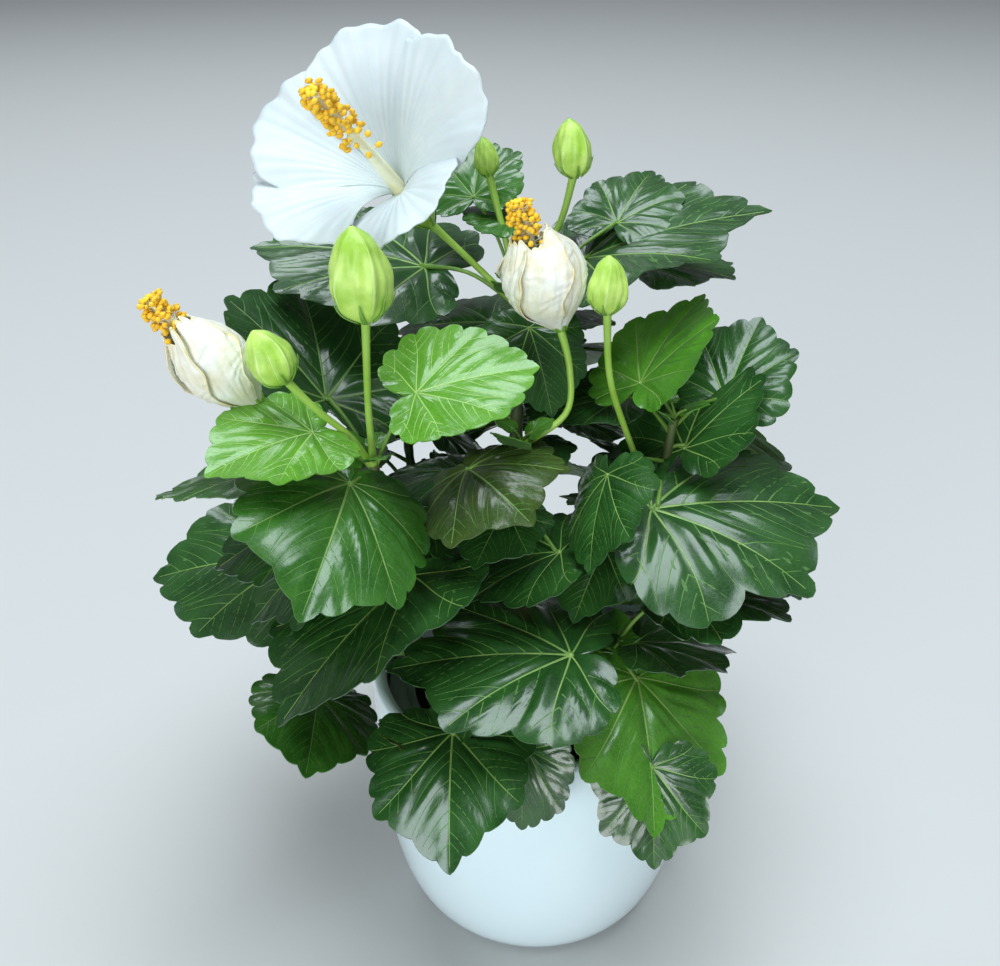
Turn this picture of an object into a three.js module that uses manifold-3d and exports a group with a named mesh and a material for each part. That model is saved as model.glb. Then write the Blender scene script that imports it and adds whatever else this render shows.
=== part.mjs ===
// A hibiscus shrub in a round white pot.
// Millimetres and degrees, +Z up, the origin at the middle of the pot's flat underside.
// The shrub's front faces -Y. A heading of 0 points along +X and one of 90 along +Y.
import * as THREE from "three";
import { mergeVertices } from "three/addons/utils/BufferGeometryUtils.js";
import Module from "manifold-3d";

const wasm = await Module();
wasm.setup();

// Pot, liner and soil.
const POT_HEIGHT = 145;
const POT_RIM_RADIUS = 84;
const POT_BASE_RADIUS = 54;
const POT_BULGE = 2.43; // power of the curve from the base to the rim
const POT_WALL = 3.2;
const POT_FLOOR = 6;
const RIM_ROLL = 3.4; // radius of the rolled rim
const RIM_WIDTH = 7;
const LINER_TOP = 131;
const LINER_INNER_RADIUS = 63;
const LINER_WALL = 1.6;
const LINER_FOOT_RADIUS = 50;
const SOIL_TOP = 126.5;
const POT_SIDES = 32;
const GAP = 0.3; // between pieces that touch

// Trunk.
const TRUNK_FOOT = [-4, 3, SOIL_TOP + GAP];
const TRUNK_TOP = [-11, 3, 172];
const TRUNK_RADIUS = 8;
const TRUNK_TOP_RADIUS = 6;
const ROOT_FLARE = 6; // added to the radius at the foot

// Limbs. Each leaves the trunk at a height and runs through its points. Up to the split it is a bough,
// and from there on it is the stem of a mass of leaves.
const BOUGH_RADIUS = 4.4;
const STEM_RADIUS = 3.2;
const STEM_TOP_RADIUS = 2;
const LIMBS = {
  left: { leaves: 156, split: 0.42, fill: 3, turn: 120, swing: 60,
    points: [[-34, -10, 180], [-52, -20, 204], [-59, -27, 228], [-68, -42, 262], [-72, -52, 284]] },
  front_left: { leaves: 142, split: 0.55, fill: 3, turn: 170, swing: 50,
    points: [[-34, -16, 160], [-52, -30, 172], [-62, -38, 190]] },
  front: { leaves: 146, split: 0.6, fill: 2, turn: -110, swing: 40,
    points: [[-16, -26, 158], [-18, -44, 170], [-18, -54, 186]] },
  front_right: { leaves: 139, split: 0.6, fill: 2, turn: 20, swing: 40,
    points: [[8, -16, 150], [24, -34, 162], [33, -46, 182]] },
  right: { leaves: 158, split: 0.45, fill: 4, turn: 30, swing: 60,
    points: [[18, 0, 180], [42, -4, 212], [54, -8, 246], [60, -4, 282]] },
  middle: { leaves: 168, split: 0.5, fill: 3, turn: 60, swing: 80,
    points: [[-7, -10, 200], [-4, -18, 228], [-8, -24, 262], [-10, -26, 280]] },
  centre: { leaves: 171, split: 0.55, fill: 4, turn: 70, swing: 70,
    points: [[-14, 14, 220], [-11, 20, 268], [-10, 24, 330]] },
  back_left: { leaves: 149, split: 0.5, fill: 8, turn: 150, swing: 75,
    points: [[-44, 18, 184], [-60, 30, 220], [-66, 38, 258]] },
  back: { leaves: 152, split: 0.5, fill: 9, turn: 90, swing: 80,
    points: [[-8, 34, 186], [-4, 52, 226], [-2, 60, 264]] },
  back_right: { leaves: 145, split: 0.5, fill: 8, turn: 35, swing: 75,
    points: [[28, 20, 182], [46, 34, 214], [54, 42, 252]] },
};

// The leaves that show from the front, by limb. Each row: the stalk's place on the limb from 0 to 1,
// the joint of stalk and blade x, y, z, the blade's heading, dip, roll, length, lobing and arch.
const LEAVES = {
  left: [
    [0.94, -80, -66, 283, -94, 6, -28, 68, 0.5, 0.6],
    [0.9, -94, -22, 300, 102, -34, 20, 77, 0.6, 0.05],
    [0.97, -94, -62, 304, -138, -8, -14, 46, 0.3, 0.05],
    [0.98, -53, -48, 315, 6, -18, 24, 50, 0.15, 0.05],
    [0.7, -58, -46, 225, -136, 13, 15, 84, 0.5, 0.05],
  ],
  front_left: [
    [0.98, -117, 0, 206, -179, 1, -24, 74, 0.4, 0.45],
    [0.75, -104, -52, 163, -84, -8, -20, 50, 0.3, 0.4],
  ],
  front: [
    [0.8, -45, -76, 155, 145, -8, 18, 34, 0.3, 0.3],
    [0.9, -40, -80, 164, -92, 8, 10, 62, 0.5, 0.1],
    [0.95, -7, -89, 162, -106, 60, 8, 37, 0.4, 0.3],
  ],
  front_right: [
    [0.96, 12, -70, 199, 179, -5, -3, 80, 0.8, 0.4],
    [0.98, 44, -55, 175, -80, 30, -14, 68, 0.7, 0.1],
    [0.85, 49, -87, 150, -90, 52, 6, 45, 0.8, 0.3],
    [0.92, 55, -42, 211, 18, -3, -23, 66, 0.8, 0.7],
  ],
  right: [
    [0.82, 48, -35, 253, 10, -4, 15, 90, 0.8, 0.6],
    [0.9, 65, -8, 269, 66, -36, -24, 58, 0.5, 0.1],
    [0.97, 85, 10, 285, 60, -44, 0, 48, 0.6, 0.1],
    [1, 44, 0, 298, 54, -42, -24, 54, 0.6, 0.05],
    [0.86, 28, -33, 269, -118, 40, 34, 43, 0.6, 0.6],
    [0.95, 42, 25, 280, 149, 6, -3, 58, 0.4, 0.2],
  ],
  middle: [
    [0.8, -36, -24, 265, 145, 10, -1, 48, 0.3, 0.4],
    [0.95, -33, -33, 272, -68, -15, 22, 58, 0.5, 0.6],
    [0.6, 8, -36, 231, 160, 14, -6, 58, 0.5, 0.3],
  ],
  centre: [
    [0.97, -54, 42, 338, 168, -14, -10, 84, 0.6, 0.3],
    [0.95, 21, 54, 338, -4, -27, 8, 86, 0.9, 0.1],
    [0.9, 36, 58, 354, 62, -31, 3, 44, 0.6, 0.45],
    [0.8, 52, 66, 330, 30, -4, 2, 52, 0.5, 0.2],
    [0.98, -31, 44, 370, 84, -36, -14, 38, 0.7, 0.2],
    [1, -14, 34, 361, 136, -16, -5, 27, 0.3, 0.25],
    [0.88, -6, 6, 322, -62, 48, 4, 40, 0.5, 0.2],
    [0.66, -21, 6, 295, -114, 4, 6, 32, 0.4, 0.2],
  ],
};

// Leaf blades. The outline is the distance from the joint at set angles to the midrib, as a share of
// the length, for a plain blade and for a fully lobed one.
const OUTLINE_ANGLES = [0, 20, 38, 58, 80, 120, 180];
const PLAIN_OUTLINE = [1, 0.9, 0.79, 0.68, 0.59, 0.46, 0.05];
const LOBED_OUTLINE = [1, 0.72, 0.87, 0.6, 0.69, 0.44, 0.05];
const BLADE_THICKNESS = 1.2;
const BLADE_FOLD = 0.1; // how far the two halves stand up from the midrib
const BLADE_SAG = 0.22; // how far the tip drops below the joint's plane
const STALK_RADIUS = 1.5;
const STALK_END_RADIUS = 0.5;
const STALK_BOW = 0.12; // how far a stalk bows upwards, as a share of its length
const STALK_SIDES = 3;
const STALK_STEPS = 3;

// Leaves placed by rule, for the parts of the crown that the shown leaves leave open.
const SEED = 2;
const TURN_STEP = 137.5; // from one leaf to the next round the stem
const TRIES_PER_LEAF = 24;
const LARGEST_RULE_LEAF = 82;
const SMALLEST_RULE_LEAF = 36;
const CLEARANCE = 2.6; // kept between a rule leaf and everything else
const NEAREST_POINTS = 5; // between the test points of two leaves
const ROD_STEP = 4;

// Blossom, joined to the stem that carries it. Each has its foot on a limb, its stalk's points, the way
// it opens and its head's size.
const BLOOMS = {
  bloom_open: { limb: "centre", hold: 0.965, points: [[-30, 26, 344], [-50, 24, 364]],
    axis: [-0.34, -0.68, 0.65], kind: "open", length: 40, width: 20, turn: 6 },
  bloom_spent_left: { limb: "left", hold: 0.85, points: [[-88, -52, 279], [-105, -54, 293], [-117, -50, 310]],
    axis: [-0.62, -0.07, 0.78], kind: "spent", length: 44, width: 15, turn: 0 },
  bloom_spent_centre: { limb: "middle", hold: 0.99, points: [[10, -22, 294], [11, -16, 312], [7, -12, 329]],
    axis: [-0.33, 0, 0.94], kind: "spent", length: 41, width: 18, turn: 40 },
  bud_large: { limb: "left", hold: 0.985, points: [[-72, -55, 312], [-70, -60, 351]],
    axis: [-0.1, 0, 1], kind: "bud", length: 37, width: 12.5 },
  bud_left: { limb: "left", hold: 0.97, points: [[-80, -56, 299], [-92, -60, 313], [-103, -62, 326]],
    axis: [-0.45, 0, 0.9], kind: "bud", length: 24, width: 9.5 },
  bud_top: { limb: "centre", hold: 0.99, points: [[-17, 32, 356], [-24, 36, 382]],
    axis: [-0.18, 0, 0.98], kind: "bud", length: 17, width: 5.5 },
  bud_top_right: { limb: "centre", hold: 0.94, points: [[1, 28, 347], [9, 30, 366], [14, 30, 383]],
    axis: [-0.15, 0, 1], kind: "bud", length: 25, width: 8.7 },
  bud_right: { limb: "right", hold: 0.72, points: [[40, -6, 272], [29, -13, 306], [26, -15, 337]],
    axis: [0, 0, 1], kind: "bud", length: 25, width: 8.7 },
};
const PEDICEL_RADIUS = 1.7;
const PETAL_COUNT = 5;
const PETAL_LENGTH = 64;
const PETAL_NOTCH = 0.09; // how much shorter the edge is between two petals
const LOW_TURN = 245; // where the petals on the lower side are
const LOW_SHORTER = 0.2; // how much shorter those are
const PETAL_TWIST = 3;
const PETAL_THICKNESS = 1.2;
const PETAL_LEAN = [32, 54]; // from the bloom's axis, at the claw and at the edge
const THROAT_DEPTH = 37; // from the bloom's foot to the place where the petals open
const COLUMN_LENGTH = 105;
const SPENT_COLUMN = 15; // how far it stands out of a furled bloom
const CALYX_LENGTH = 16;

const finish = (color, roughness) => new THREE.MeshStandardMaterial({ color, roughness, metalness: 0 });
const POT_WHITE = finish(0xe9eff5, 0.25);
const LINER_GREY = finish(0x8d919c, 0.55);
const SOIL_BROWN = finish(0x1c1712, 0.95);
const BARK = finish(0x6b5a3c, 0.8);
const LEAF_GREEN = finish(0x1f4d1c, 0.32);

const radians = THREE.MathUtils.degToRad;
const lerp = THREE.MathUtils.lerp;
const vec = (p) => new THREE.Vector3(...p);

// A closed geometry as a solid that can be joined and cut.
function solid(geometry) {
  const bare = geometry.index ? geometry.toNonIndexed() : geometry.clone();
  bare.deleteAttribute("normal");
  bare.deleteAttribute("uv");
  const merged = mergeVertices(bare, 1e-4);
  return new wasm.Manifold(new wasm.Mesh({
    numProp: 3,
    vertProperties: merged.attributes.position.array,
    triVerts: new Uint32Array(merged.index.array),
  }));
}

function fuse(solids) {
  return solids.reduce((whole, piece) => whole.add(piece));
}

// The largest body of a solid, with loose scraps dropped and sealed hollows filled.
function soundBody(made) {
  const bodies = made.decompose().sort((a, b) => b.volume() - a.volume());
  const hollows = bodies.filter((body) => body.volume() < 0);
  return hollows.reduce((body, hollow) => body.subtract(hollow), bodies[0]);
}

const group = new THREE.Group();

function addNode(name, made, material) {
  const data = soundBody(made).getMesh();
  const stride = data.numProp;
  const points = new Float32Array(data.numVert * 3);
  for (let i = 0; i < data.numVert; i += 1) {
    points.set(data.vertProperties.subarray(i * stride, i * stride + 3), i * 3);
  }
  const geometry = new THREE.BufferGeometry();
  geometry.setAttribute("position", new THREE.BufferAttribute(points, 3));
  geometry.setIndex(new THREE.BufferAttribute(data.triVerts, 1));
  geometry.computeVertexNormals();
  const mesh = new THREE.Mesh(geometry, material);
  mesh.name = name;
  group.add(mesh);
}

// A turned piece: the profile's points are [radius, height].
function turned(profile, sides) {
  const points = profile.map(([radius, height]) => new THREE.Vector2(radius, height));
  return new THREE.LatheGeometry(points, sides).rotateX(Math.PI / 2);
}

// Moves every vertex of a geometry by a function of its place.
function reshape(geometry, place) {
  const position = geometry.attributes.position;
  const point = new THREE.Vector3();
  for (let i = 0; i < position.count; i += 1) {
    point.fromBufferAttribute(position, i);
    place(point);
    position.setXYZ(i, point.x, point.y, point.z);
  }
  return geometry;
}

// A round limb along part of a curve. radiusAt gives its radius by the share of that part.
function limb(curve, radiusAt, { sides = 7, steps, start = 0, end = 1 }) {
  const rod = new THREE.CylinderGeometry(1, 1, 1, sides, steps);
  const reference = new THREE.Vector3(0.37, 0.91, 0.18).normalize();
  return reshape(rod, (point) => {
    const share = point.y + 0.5;
    const along = lerp(start, end, share);
    const axis = curve.getTangentAt(along);
    const across = reference.clone().cross(axis).normalize();
    const upright = axis.clone().cross(across);
    const radius = radiusAt(share);
    const centre = curve.getPointAt(along);
    const sideways = point.z * radius;
    const upwards = point.x * radius;
    point.copy(centre).addScaledVector(across, sideways).addScaledVector(upright, upwards);
  });
}

// Radius of the pot's outside at a height.
function potRadius(height) {
  const share = 1 - THREE.MathUtils.clamp(height / POT_HEIGHT, 0, 1);
  return POT_BASE_RADIUS + (POT_RIM_RADIUS - POT_BASE_RADIUS) * (1 - share ** POT_BULGE) ** (1 / POT_BULGE);
}

function potSolid() {
  const profile = [[0, 0], [POT_BASE_RADIUS - 5, 0], [POT_BASE_RADIUS + 4, 1.2]];
  for (const share of [0.04, 0.1, 0.19, 0.32, 0.5, 0.75]) {
    profile.push([potRadius(share * POT_HEIGHT), share * POT_HEIGHT]);
  }
  const rimFoot = POT_HEIGHT - RIM_ROLL;
  const innerEdge = POT_RIM_RADIUS - RIM_WIDTH;
  profile.push([POT_RIM_RADIUS, rimFoot], [POT_RIM_RADIUS - 1, POT_HEIGHT - 1]);
  profile.push([POT_RIM_RADIUS - 3, POT_HEIGHT]);
  profile.push([innerEdge + 2, POT_HEIGHT], [innerEdge, POT_HEIGHT - 1.5], [innerEdge, POT_HEIGHT - 8]);
  for (const share of [0.8, 0.5, 0.25, 0.1]) {
    const height = share * POT_HEIGHT;
    profile.push([Math.min(potRadius(height) - POT_WALL, innerEdge + 2), height]);
  }
  profile.push([POT_BASE_RADIUS - 2, POT_FLOOR], [0, POT_FLOOR]);
  return solid(turned(profile, POT_SIDES));
}

// The liner is a cup with a wide flat lip just below the pot's rim.
function linerSolid() {
  const foot = POT_FLOOR + GAP;
  const lip = POT_RIM_RADIUS - RIM_WIDTH - GAP - 0.4;
  const profile = [
    [0, foot], [LINER_FOOT_RADIUS, foot],
    [LINER_INNER_RADIUS + LINER_WALL, LINER_TOP - 14], [LINER_INNER_RADIUS + LINER_WALL, LINER_TOP - 2],
    [lip, LINER_TOP - 2], [lip, LINER_TOP],
    [LINER_INNER_RADIUS, LINER_TOP], [LINER_INNER_RADIUS, LINER_TOP - 14],
    [LINER_FOOT_RADIUS - LINER_WALL, foot + LINER_WALL], [0, foot + LINER_WALL],
  ];
  return solid(turned(profile, POT_SIDES));
}

function soilSolid() {
  const foot = POT_FLOOR + 2 * GAP + LINER_WALL;
  const topRadius = LINER_INNER_RADIUS - 2 * GAP;
  const profile = [
    [0, foot], [LINER_FOOT_RADIUS - LINER_WALL - 2 * GAP, foot],
    [topRadius, LINER_TOP - 14], [topRadius, SOIL_TOP - 3],
    [topRadius - 8, SOIL_TOP - 1], [26, SOIL_TOP], [0, SOIL_TOP],
  ];
  return solid(turned(profile, POT_SIDES));
}

const trunkCurve = new THREE.CatmullRomCurve3([
  vec(TRUNK_FOOT),
  vec([TRUNK_FOOT[0], TRUNK_FOOT[1], TRUNK_FOOT[2] + 12]),
  vec([lerp(TRUNK_FOOT[0], TRUNK_TOP[0], 0.6), 3, lerp(TRUNK_FOOT[2], TRUNK_TOP[2], 0.6)]),
  vec(TRUNK_TOP),
]);

function trunkSolid(extra) {
  const radiusAt = (share) =>
    lerp(TRUNK_RADIUS, TRUNK_TOP_RADIUS, share) + ROOT_FLARE * Math.exp(-share * 9) + extra;
  const rod = limb(trunkCurve, radiusAt, { sides: 12, steps: 10, end: 1 });
  return solid(rod);
}

function trunkPoint(height) {
  const share = (height - TRUNK_FOOT[2]) / (TRUNK_TOP[2] - TRUNK_FOOT[2]);
  return trunkCurve.getPointAt(THREE.MathUtils.clamp(share, 0, 1));
}

function limbCurve(row) {
  const points = [trunkPoint(row.leaves), ...row.points.map(vec)];
  return new THREE.CatmullRomCurve3(points, false, "catmullrom", 0.5);
}

const boughRadius = (share) => lerp(BOUGH_RADIUS, STEM_RADIUS, share);
const stemRadius = (share) => lerp(STEM_RADIUS, STEM_TOP_RADIUS, share);

// Turns a blade's own axes, midrib, left side and upper face, to its heading, dip and roll.
function bladeAxes(heading, dip, roll) {
  const [h, d, r] = [heading, dip, roll].map(radians);
  const midrib = new THREE.Vector3(Math.cos(h) * Math.cos(d), Math.sin(h) * Math.cos(d), -Math.sin(d));
  const level = new THREE.Vector3(-Math.sin(h), Math.cos(h), 0);
  const raised = midrib.clone().cross(level);
  const side = level.clone().multiplyScalar(Math.cos(r)).addScaledVector(raised, Math.sin(r));
  const face = raised.multiplyScalar(Math.cos(r)).addScaledVector(level, -Math.sin(r));
  return { midrib, side, face };
}

// A point of a blade. The angle is from the midrib, left positive; reach is the share of the way from
// the joint to the edge; lift is the distance off the middle of the blade.
function bladePoint(leaf, angle, reach, lift) {
  const step = OUTLINE_ANGLES.indexOf(Math.abs(angle));
  const edge = lerp(PLAIN_OUTLINE[step], LOBED_OUTLINE[step], leaf.lobing);
  const u = reach * edge * Math.cos(radians(angle));
  const v = reach * edge * Math.sin(radians(angle));
  const height = BLADE_FOLD * Math.abs(v) - leaf.arch * v * v - BLADE_SAG * u * u;
  return leaf.joint.clone()
    .addScaledVector(leaf.axes.midrib, u * leaf.length)
    .addScaledVector(leaf.axes.side, v * leaf.length)
    .addScaledVector(leaf.axes.face, height * leaf.length + lift);
}

const BLADE_ANGLES = [...OUTLINE_ANGLES, ...OUTLINE_ANGLES.slice(1, -1).reverse().map((angle) => -angle)];

// A disc of two rings, whose vertices are then moved to their places on the blade.
function bladeSolid(leaf) {
  const half = BLADE_THICKNESS / 2;
  const profile = [[0, half], [0.5, half], [1, half], [1, -half], [0.5, -half], [0, -half]].reverse();
  const disc = turned(profile, BLADE_ANGLES.length);
  return solid(reshape(disc, (point) => {
    const turn = Math.atan2(point.x, -point.y) / (2 * Math.PI); // a lathe's first column is on -Y
    const index = Math.round((turn + 1) * BLADE_ANGLES.length) % BLADE_ANGLES.length;
    const reach = Math.hypot(point.x, point.y);
    point.copy(bladePoint(leaf, BLADE_ANGLES[index], reach, point.z));
  }));
}

// The stalk bows from its limb to the joint and ends a little way under the midrib.
function stalkCurve(foot, leaf) {
  const end = leaf.joint.clone().addScaledVector(leaf.axes.midrib, 0.03 * leaf.length);
  const middle = foot.clone().lerp(end, 0.5);
  middle.z += STALK_BOW * foot.distanceTo(end);
  return new THREE.CatmullRomCurve3([foot, middle, end]);
}

function makeLeaf(foot, [x, y, z], heading, dip, roll, length, lobing, arch) {
  const axes = bladeAxes(heading, dip, roll);
  const leaf = { joint: new THREE.Vector3(x, y, z), length, lobing, arch, axes };
  leaf.stalk = stalkCurve(foot, leaf);
  return leaf;
}

function leafSolid(leaf) {
  const radius = Math.min(STALK_RADIUS, 0.6 + leaf.length / 60);
  const radiusAt = (share) => lerp(radius, STALK_END_RADIUS, share ** 4);
  const stalk = limb(leaf.stalk, radiusAt, { sides: STALK_SIDES, steps: STALK_STEPS });
  return solid(stalk).add(bladeSolid(leaf));
}

// The middle surface of a blade as triangles, raised by lift.
function bladeFaces(leaf, lift) {
  const base = bladePoint(leaf, 0, 0, lift);
  return BLADE_ANGLES.flatMap((angle, i) => {
    const turns = [angle, BLADE_ANGLES[(i + 1) % BLADE_ANGLES.length]];
    const [a, b] = turns.map((turn) => bladePoint(leaf, turn, 0.5, lift));
    const [c, d] = turns.map((turn) => bladePoint(leaf, turn, 1, lift));
    return [[base, a, b], [a, c, d], [a, d, b]];
  });
}

// The stalk, the ribs from the joint to the edge, and the edge, as short lines.
function leafLines(leaf) {
  const edge = BLADE_ANGLES.map((angle) => bladePoint(leaf, angle, 1, 0));
  const ring = BLADE_ANGLES.map((angle) => bladePoint(leaf, angle, 0.5, 0));
  const stalk = leaf.stalk.getPoints(STALK_STEPS);
  return [
    ...stalk.slice(1).map((point, i) => [stalk[i], point]),
    ...ring.map((point) => [leaf.joint, point]),
    ...edge.map((point, i) => [ring[i], point]),
    ...edge.map((point, i) => [point, edge[(i + 1) % edge.length]]),
  ];
}

// Where a line from start to end passes through a triangle.
function crosses([start, end], [a, b, c]) {
  const along = end.clone().sub(start);
  const ab = b.clone().sub(a);
  const ac = c.clone().sub(a);
  const p = along.clone().cross(ac);
  const slope = ab.dot(p);
  if (Math.abs(slope) < 1e-9) return false;
  const s = start.clone().sub(a);
  const u = s.dot(p) / slope;
  if (u < 0 || u > 1) return false;
  const q = s.cross(ab);
  const v = along.dot(q) / slope;
  if (v < 0 || u + v > 1) return false;
  const t = ac.dot(q) / slope;
  return t >= 0 && t <= 1;
}

const meets = (lines, faces) => lines.some((line) => faces.some((face) => crosses(line, face)));

// What the touching test needs of a leaf: its surface at three levels, its lines and points along them.
function leafShape(leaf) {
  const layers = [-CLEARANCE, 0, CLEARANCE].flatMap((lift) => bladeFaces(leaf, lift));
  const lines = leafLines(leaf);
  const points = lines.flatMap(([start, end]) => [end, start.clone().lerp(end, 0.5)]);
  const box = new THREE.Box3().setFromPoints(points).expandByScalar(CLEARANCE);
  return { leaf, layers, lines, points, box };
}

function touch(one, other) {
  if (!one.box.intersectsBox(other.box)) return false;
  return one.points.some((a) => other.points.some((b) => a.distanceTo(b) < NEAREST_POINTS))
    || meets(one.lines, other.layers) || meets(other.lines, one.layers);
}

// A limb, stalk or head as a row of balls and the line through them.
function rodShape(curve, radius, start, end) {
  const count = Math.ceil(curve.getLength() * (end - start) / ROD_STEP);
  const balls = Array.from({ length: count + 1 }, (_, i) => curve.getPointAt(lerp(start, end, i / count)));
  const box = new THREE.Box3().setFromPoints(balls).expandByScalar(radius);
  return { balls, radius, box, lines: balls.slice(1).map((ball, i) => [balls[i], ball]) };
}

function touchesRod(shape, rod) {
  if (!shape.box.intersectsBox(rod.box)) return false;
  const near = rod.radius + CLEARANCE;
  return shape.points.some((point) => rod.balls.some((ball) => ball.distanceTo(point) < near))
    || meets(rod.lines, shape.layers);
}

// A blade that would cut into the pot or reach the floor.
function hitsPot(leaf) {
  return BLADE_ANGLES.some((angle) => {
    const point = bladePoint(leaf, angle, 1, 0);
    const reach = Math.hypot(point.x, point.y);
    return point.z < POT_HEIGHT + CLEARANCE && reach < potRadius(point.z) + CLEARANCE;
  });
}

// A seeded source of numbers from 0 to 1.
function randomSource(seed) {
  let state = seed >>> 0;
  return () => {
    state = (state + 0x6d2b79f5) >>> 0;
    let mixed = Math.imul(state ^ (state >>> 15), state | 1);
    mixed ^= mixed + Math.imul(mixed ^ (mixed >>> 7), mixed | 61);
    return ((mixed ^ (mixed >>> 14)) >>> 0) / 4294967296;
  };
}

const random = randomSource(SEED);
const between = (low, high) => lerp(low, high, random());

// One rule leaf: it stands off the stem within the limb's swing to either side of its turn.
function ruleLeaf(row, curve, attempt) {
  const share = attempt / (row.fill * TRIES_PER_LEAF);
  const length = lerp(LARGEST_RULE_LEAF, SMALLEST_RULE_LEAF, share) * between(0.9, 1);
  const hold = lerp(row.split + 0.08, 0.98, random());
  const foot = curve.getPointAt(hold);
  const spread = ((attempt * TURN_STEP) % 360) / 180 - 1;
  const turn = row.turn + row.swing * spread + between(-12, 12);
  const stalk = between(0.35, 0.6) * length;
  const rise = radians(between(5, 50));
  const joint = [
    foot.x + stalk * Math.cos(rise) * Math.cos(radians(turn)),
    foot.y + stalk * Math.cos(rise) * Math.sin(radians(turn)),
    foot.z + stalk * Math.sin(rise),
  ];
  const heading = turn + between(-20, 20);
  const dip = between(0, 42);
  const roll = between(-16, 16);
  return makeLeaf(foot, joint, heading, dip, roll, length, between(0.3, 0.9), between(0.15, 0.45));
}

const curves = Object.fromEntries(Object.entries(LIMBS).map(([name, row]) => [name, limbCurve(row)]));

function bloomStalk(row) {
  const end = vec(row.points.at(-1)).addScaledVector(vec(row.axis).normalize(), 3);
  const points = [curves[row.limb].getPointAt(row.hold), ...row.points.slice(0, -1).map(vec), end];
  return new THREE.CatmullRomCurve3(points);
}

// Every limb, bloom stalk and bloom head, for the rule leaves to keep clear of.
function rodsToClear() {
  const limbs = Object.entries(curves).map(([name, curve]) => {
    return { name, ...rodShape(curve, BOUGH_RADIUS, 0, 1) };
  });
  const stalks = Object.values(BLOOMS).map((row) => rodShape(bloomStalk(row), PEDICEL_RADIUS, 0.1, 1));
  const heads = Object.values(BLOOMS).map((row) => {
    const foot = vec(row.points.at(-1));
    const top = foot.clone().addScaledVector(vec(row.axis).normalize(), row.length);
    return rodShape(new THREE.LineCurve3(foot, top), row.width, 0, 1);
  });
  return [...limbs, ...stalks, ...heads];
}

// Every leaf of every limb: those that show, then those by rule that touch nothing.
function growLeaves() {
  const grown = Object.fromEntries(Object.keys(LIMBS).map((name) => [name, []]));
  for (const [name, rows] of Object.entries(LEAVES)) {
    for (const [hold, x, y, z, ...rest] of rows) {
      grown[name].push(leafShape(makeLeaf(curves[name].getPointAt(hold), [x, y, z], ...rest)));
    }
  }
  const rods = rodsToClear();
  for (const [name, row] of Object.entries(LIMBS)) {
    const others = rods.filter((rod) => rod.name !== name);
    const wanted = grown[name].length + row.fill;
    for (let attempt = 0; attempt < row.fill * TRIES_PER_LEAF && grown[name].length < wanted; attempt += 1) {
      const shape = leafShape(ruleLeaf(row, curves[name], attempt));
      const free = !hitsPot(shape.leaf)
        && !others.some((rod) => touchesRod(shape, rod))
        && !Object.values(grown).flat().some((other) => touch(shape, other));
      if (free) grown[name].push(shape);
    }
  }
  return grown;
}

// Turns a piece built along +Z so that it stands at a point and opens along an axis.
function standAt(geometry, foot, axis, turn) {
  const spin = new THREE.Quaternion().setFromAxisAngle(new THREE.Vector3(0, 0, 1), radians(turn));
  const tilt = new THREE.Quaternion().setFromUnitVectors(new THREE.Vector3(0, 0, 1), axis);
  return geometry.applyQuaternion(tilt.multiply(spin)).translate(foot.x, foot.y, foot.z);
}

// The open petals as one funnel, whose edge has a lobe for each petal and dips where they overlap.
function corollaGeometry() {
  const rings = [0, 0.3, 0.62, 0.84, 1];
  const profile = [...rings.map((ring) => [ring, -0.5]), ...rings.toReversed().map((ring) => [ring, 0.5])];
  return reshape(turned(profile, 5 * PETAL_COUNT), (point) => {
    const along = Math.hypot(point.x, point.y);
    const turn = Math.atan2(point.y, point.x);
    const lobe = Math.cos(PETAL_COUNT * turn);
    const lean = radians(lerp(...PETAL_LEAN, along));
    const low = Math.max(0, Math.cos(turn - radians(LOW_TURN)));
    const shorter = PETAL_NOTCH * (1 - lobe) * along + LOW_SHORTER * low;
    const length = PETAL_LENGTH * along * (1 - shorter);
    const lift = PETAL_TWIST * along * Math.sin(PETAL_COUNT * turn) + point.z * PETAL_THICKNESS;
    const outward = length * Math.sin(lean) - along * lift * Math.cos(lean);
    const upward = THROAT_DEPTH - 9 + length * Math.cos(lean) + lift;
    point.set(outward * Math.cos(turn), outward * Math.sin(turn), upward);
  });
}

function columnSolids(length, count, foot) {
  const line = new THREE.LineCurve3(new THREE.Vector3(0, 0, foot), new THREE.Vector3(0, 0, length));
  const solids = [limb(line, (share) => lerp(3, 1.6, share), { sides: 5, steps: 1 })];
  for (let i = 0; i < count; i += 1) {
    const height = lerp(lerp(foot, length, 0.55), length - 1, i / (count - 1));
    const turn = radians(i * TURN_STEP);
    const bead = new THREE.OctahedronGeometry(2.6);
    solids.push(bead.translate(2.6 * Math.cos(turn), 2.6 * Math.sin(turn), height));
  }
  return solids;
}

function calyxGeometry(width) {
  const lips = [[width, CALYX_LENGTH * 0.5], [width * 0.9, CALYX_LENGTH]];
  return turned([[0, -2], [2.5, 0], ...lips, [0, CALYX_LENGTH]], 6);
}

function openBloom() {
  const mouth = [[6, THROAT_DEPTH - 12], [8, THROAT_DEPTH - 4]];
  const tube = turned([[0, 4], [4, 6], ...mouth, [0, THROAT_DEPTH - 3]], 10);
  return [corollaGeometry(), tube, calyxGeometry(6.5), ...columnSolids(COLUMN_LENGTH, 6, THROAT_DEPTH - 4)];
}

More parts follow.
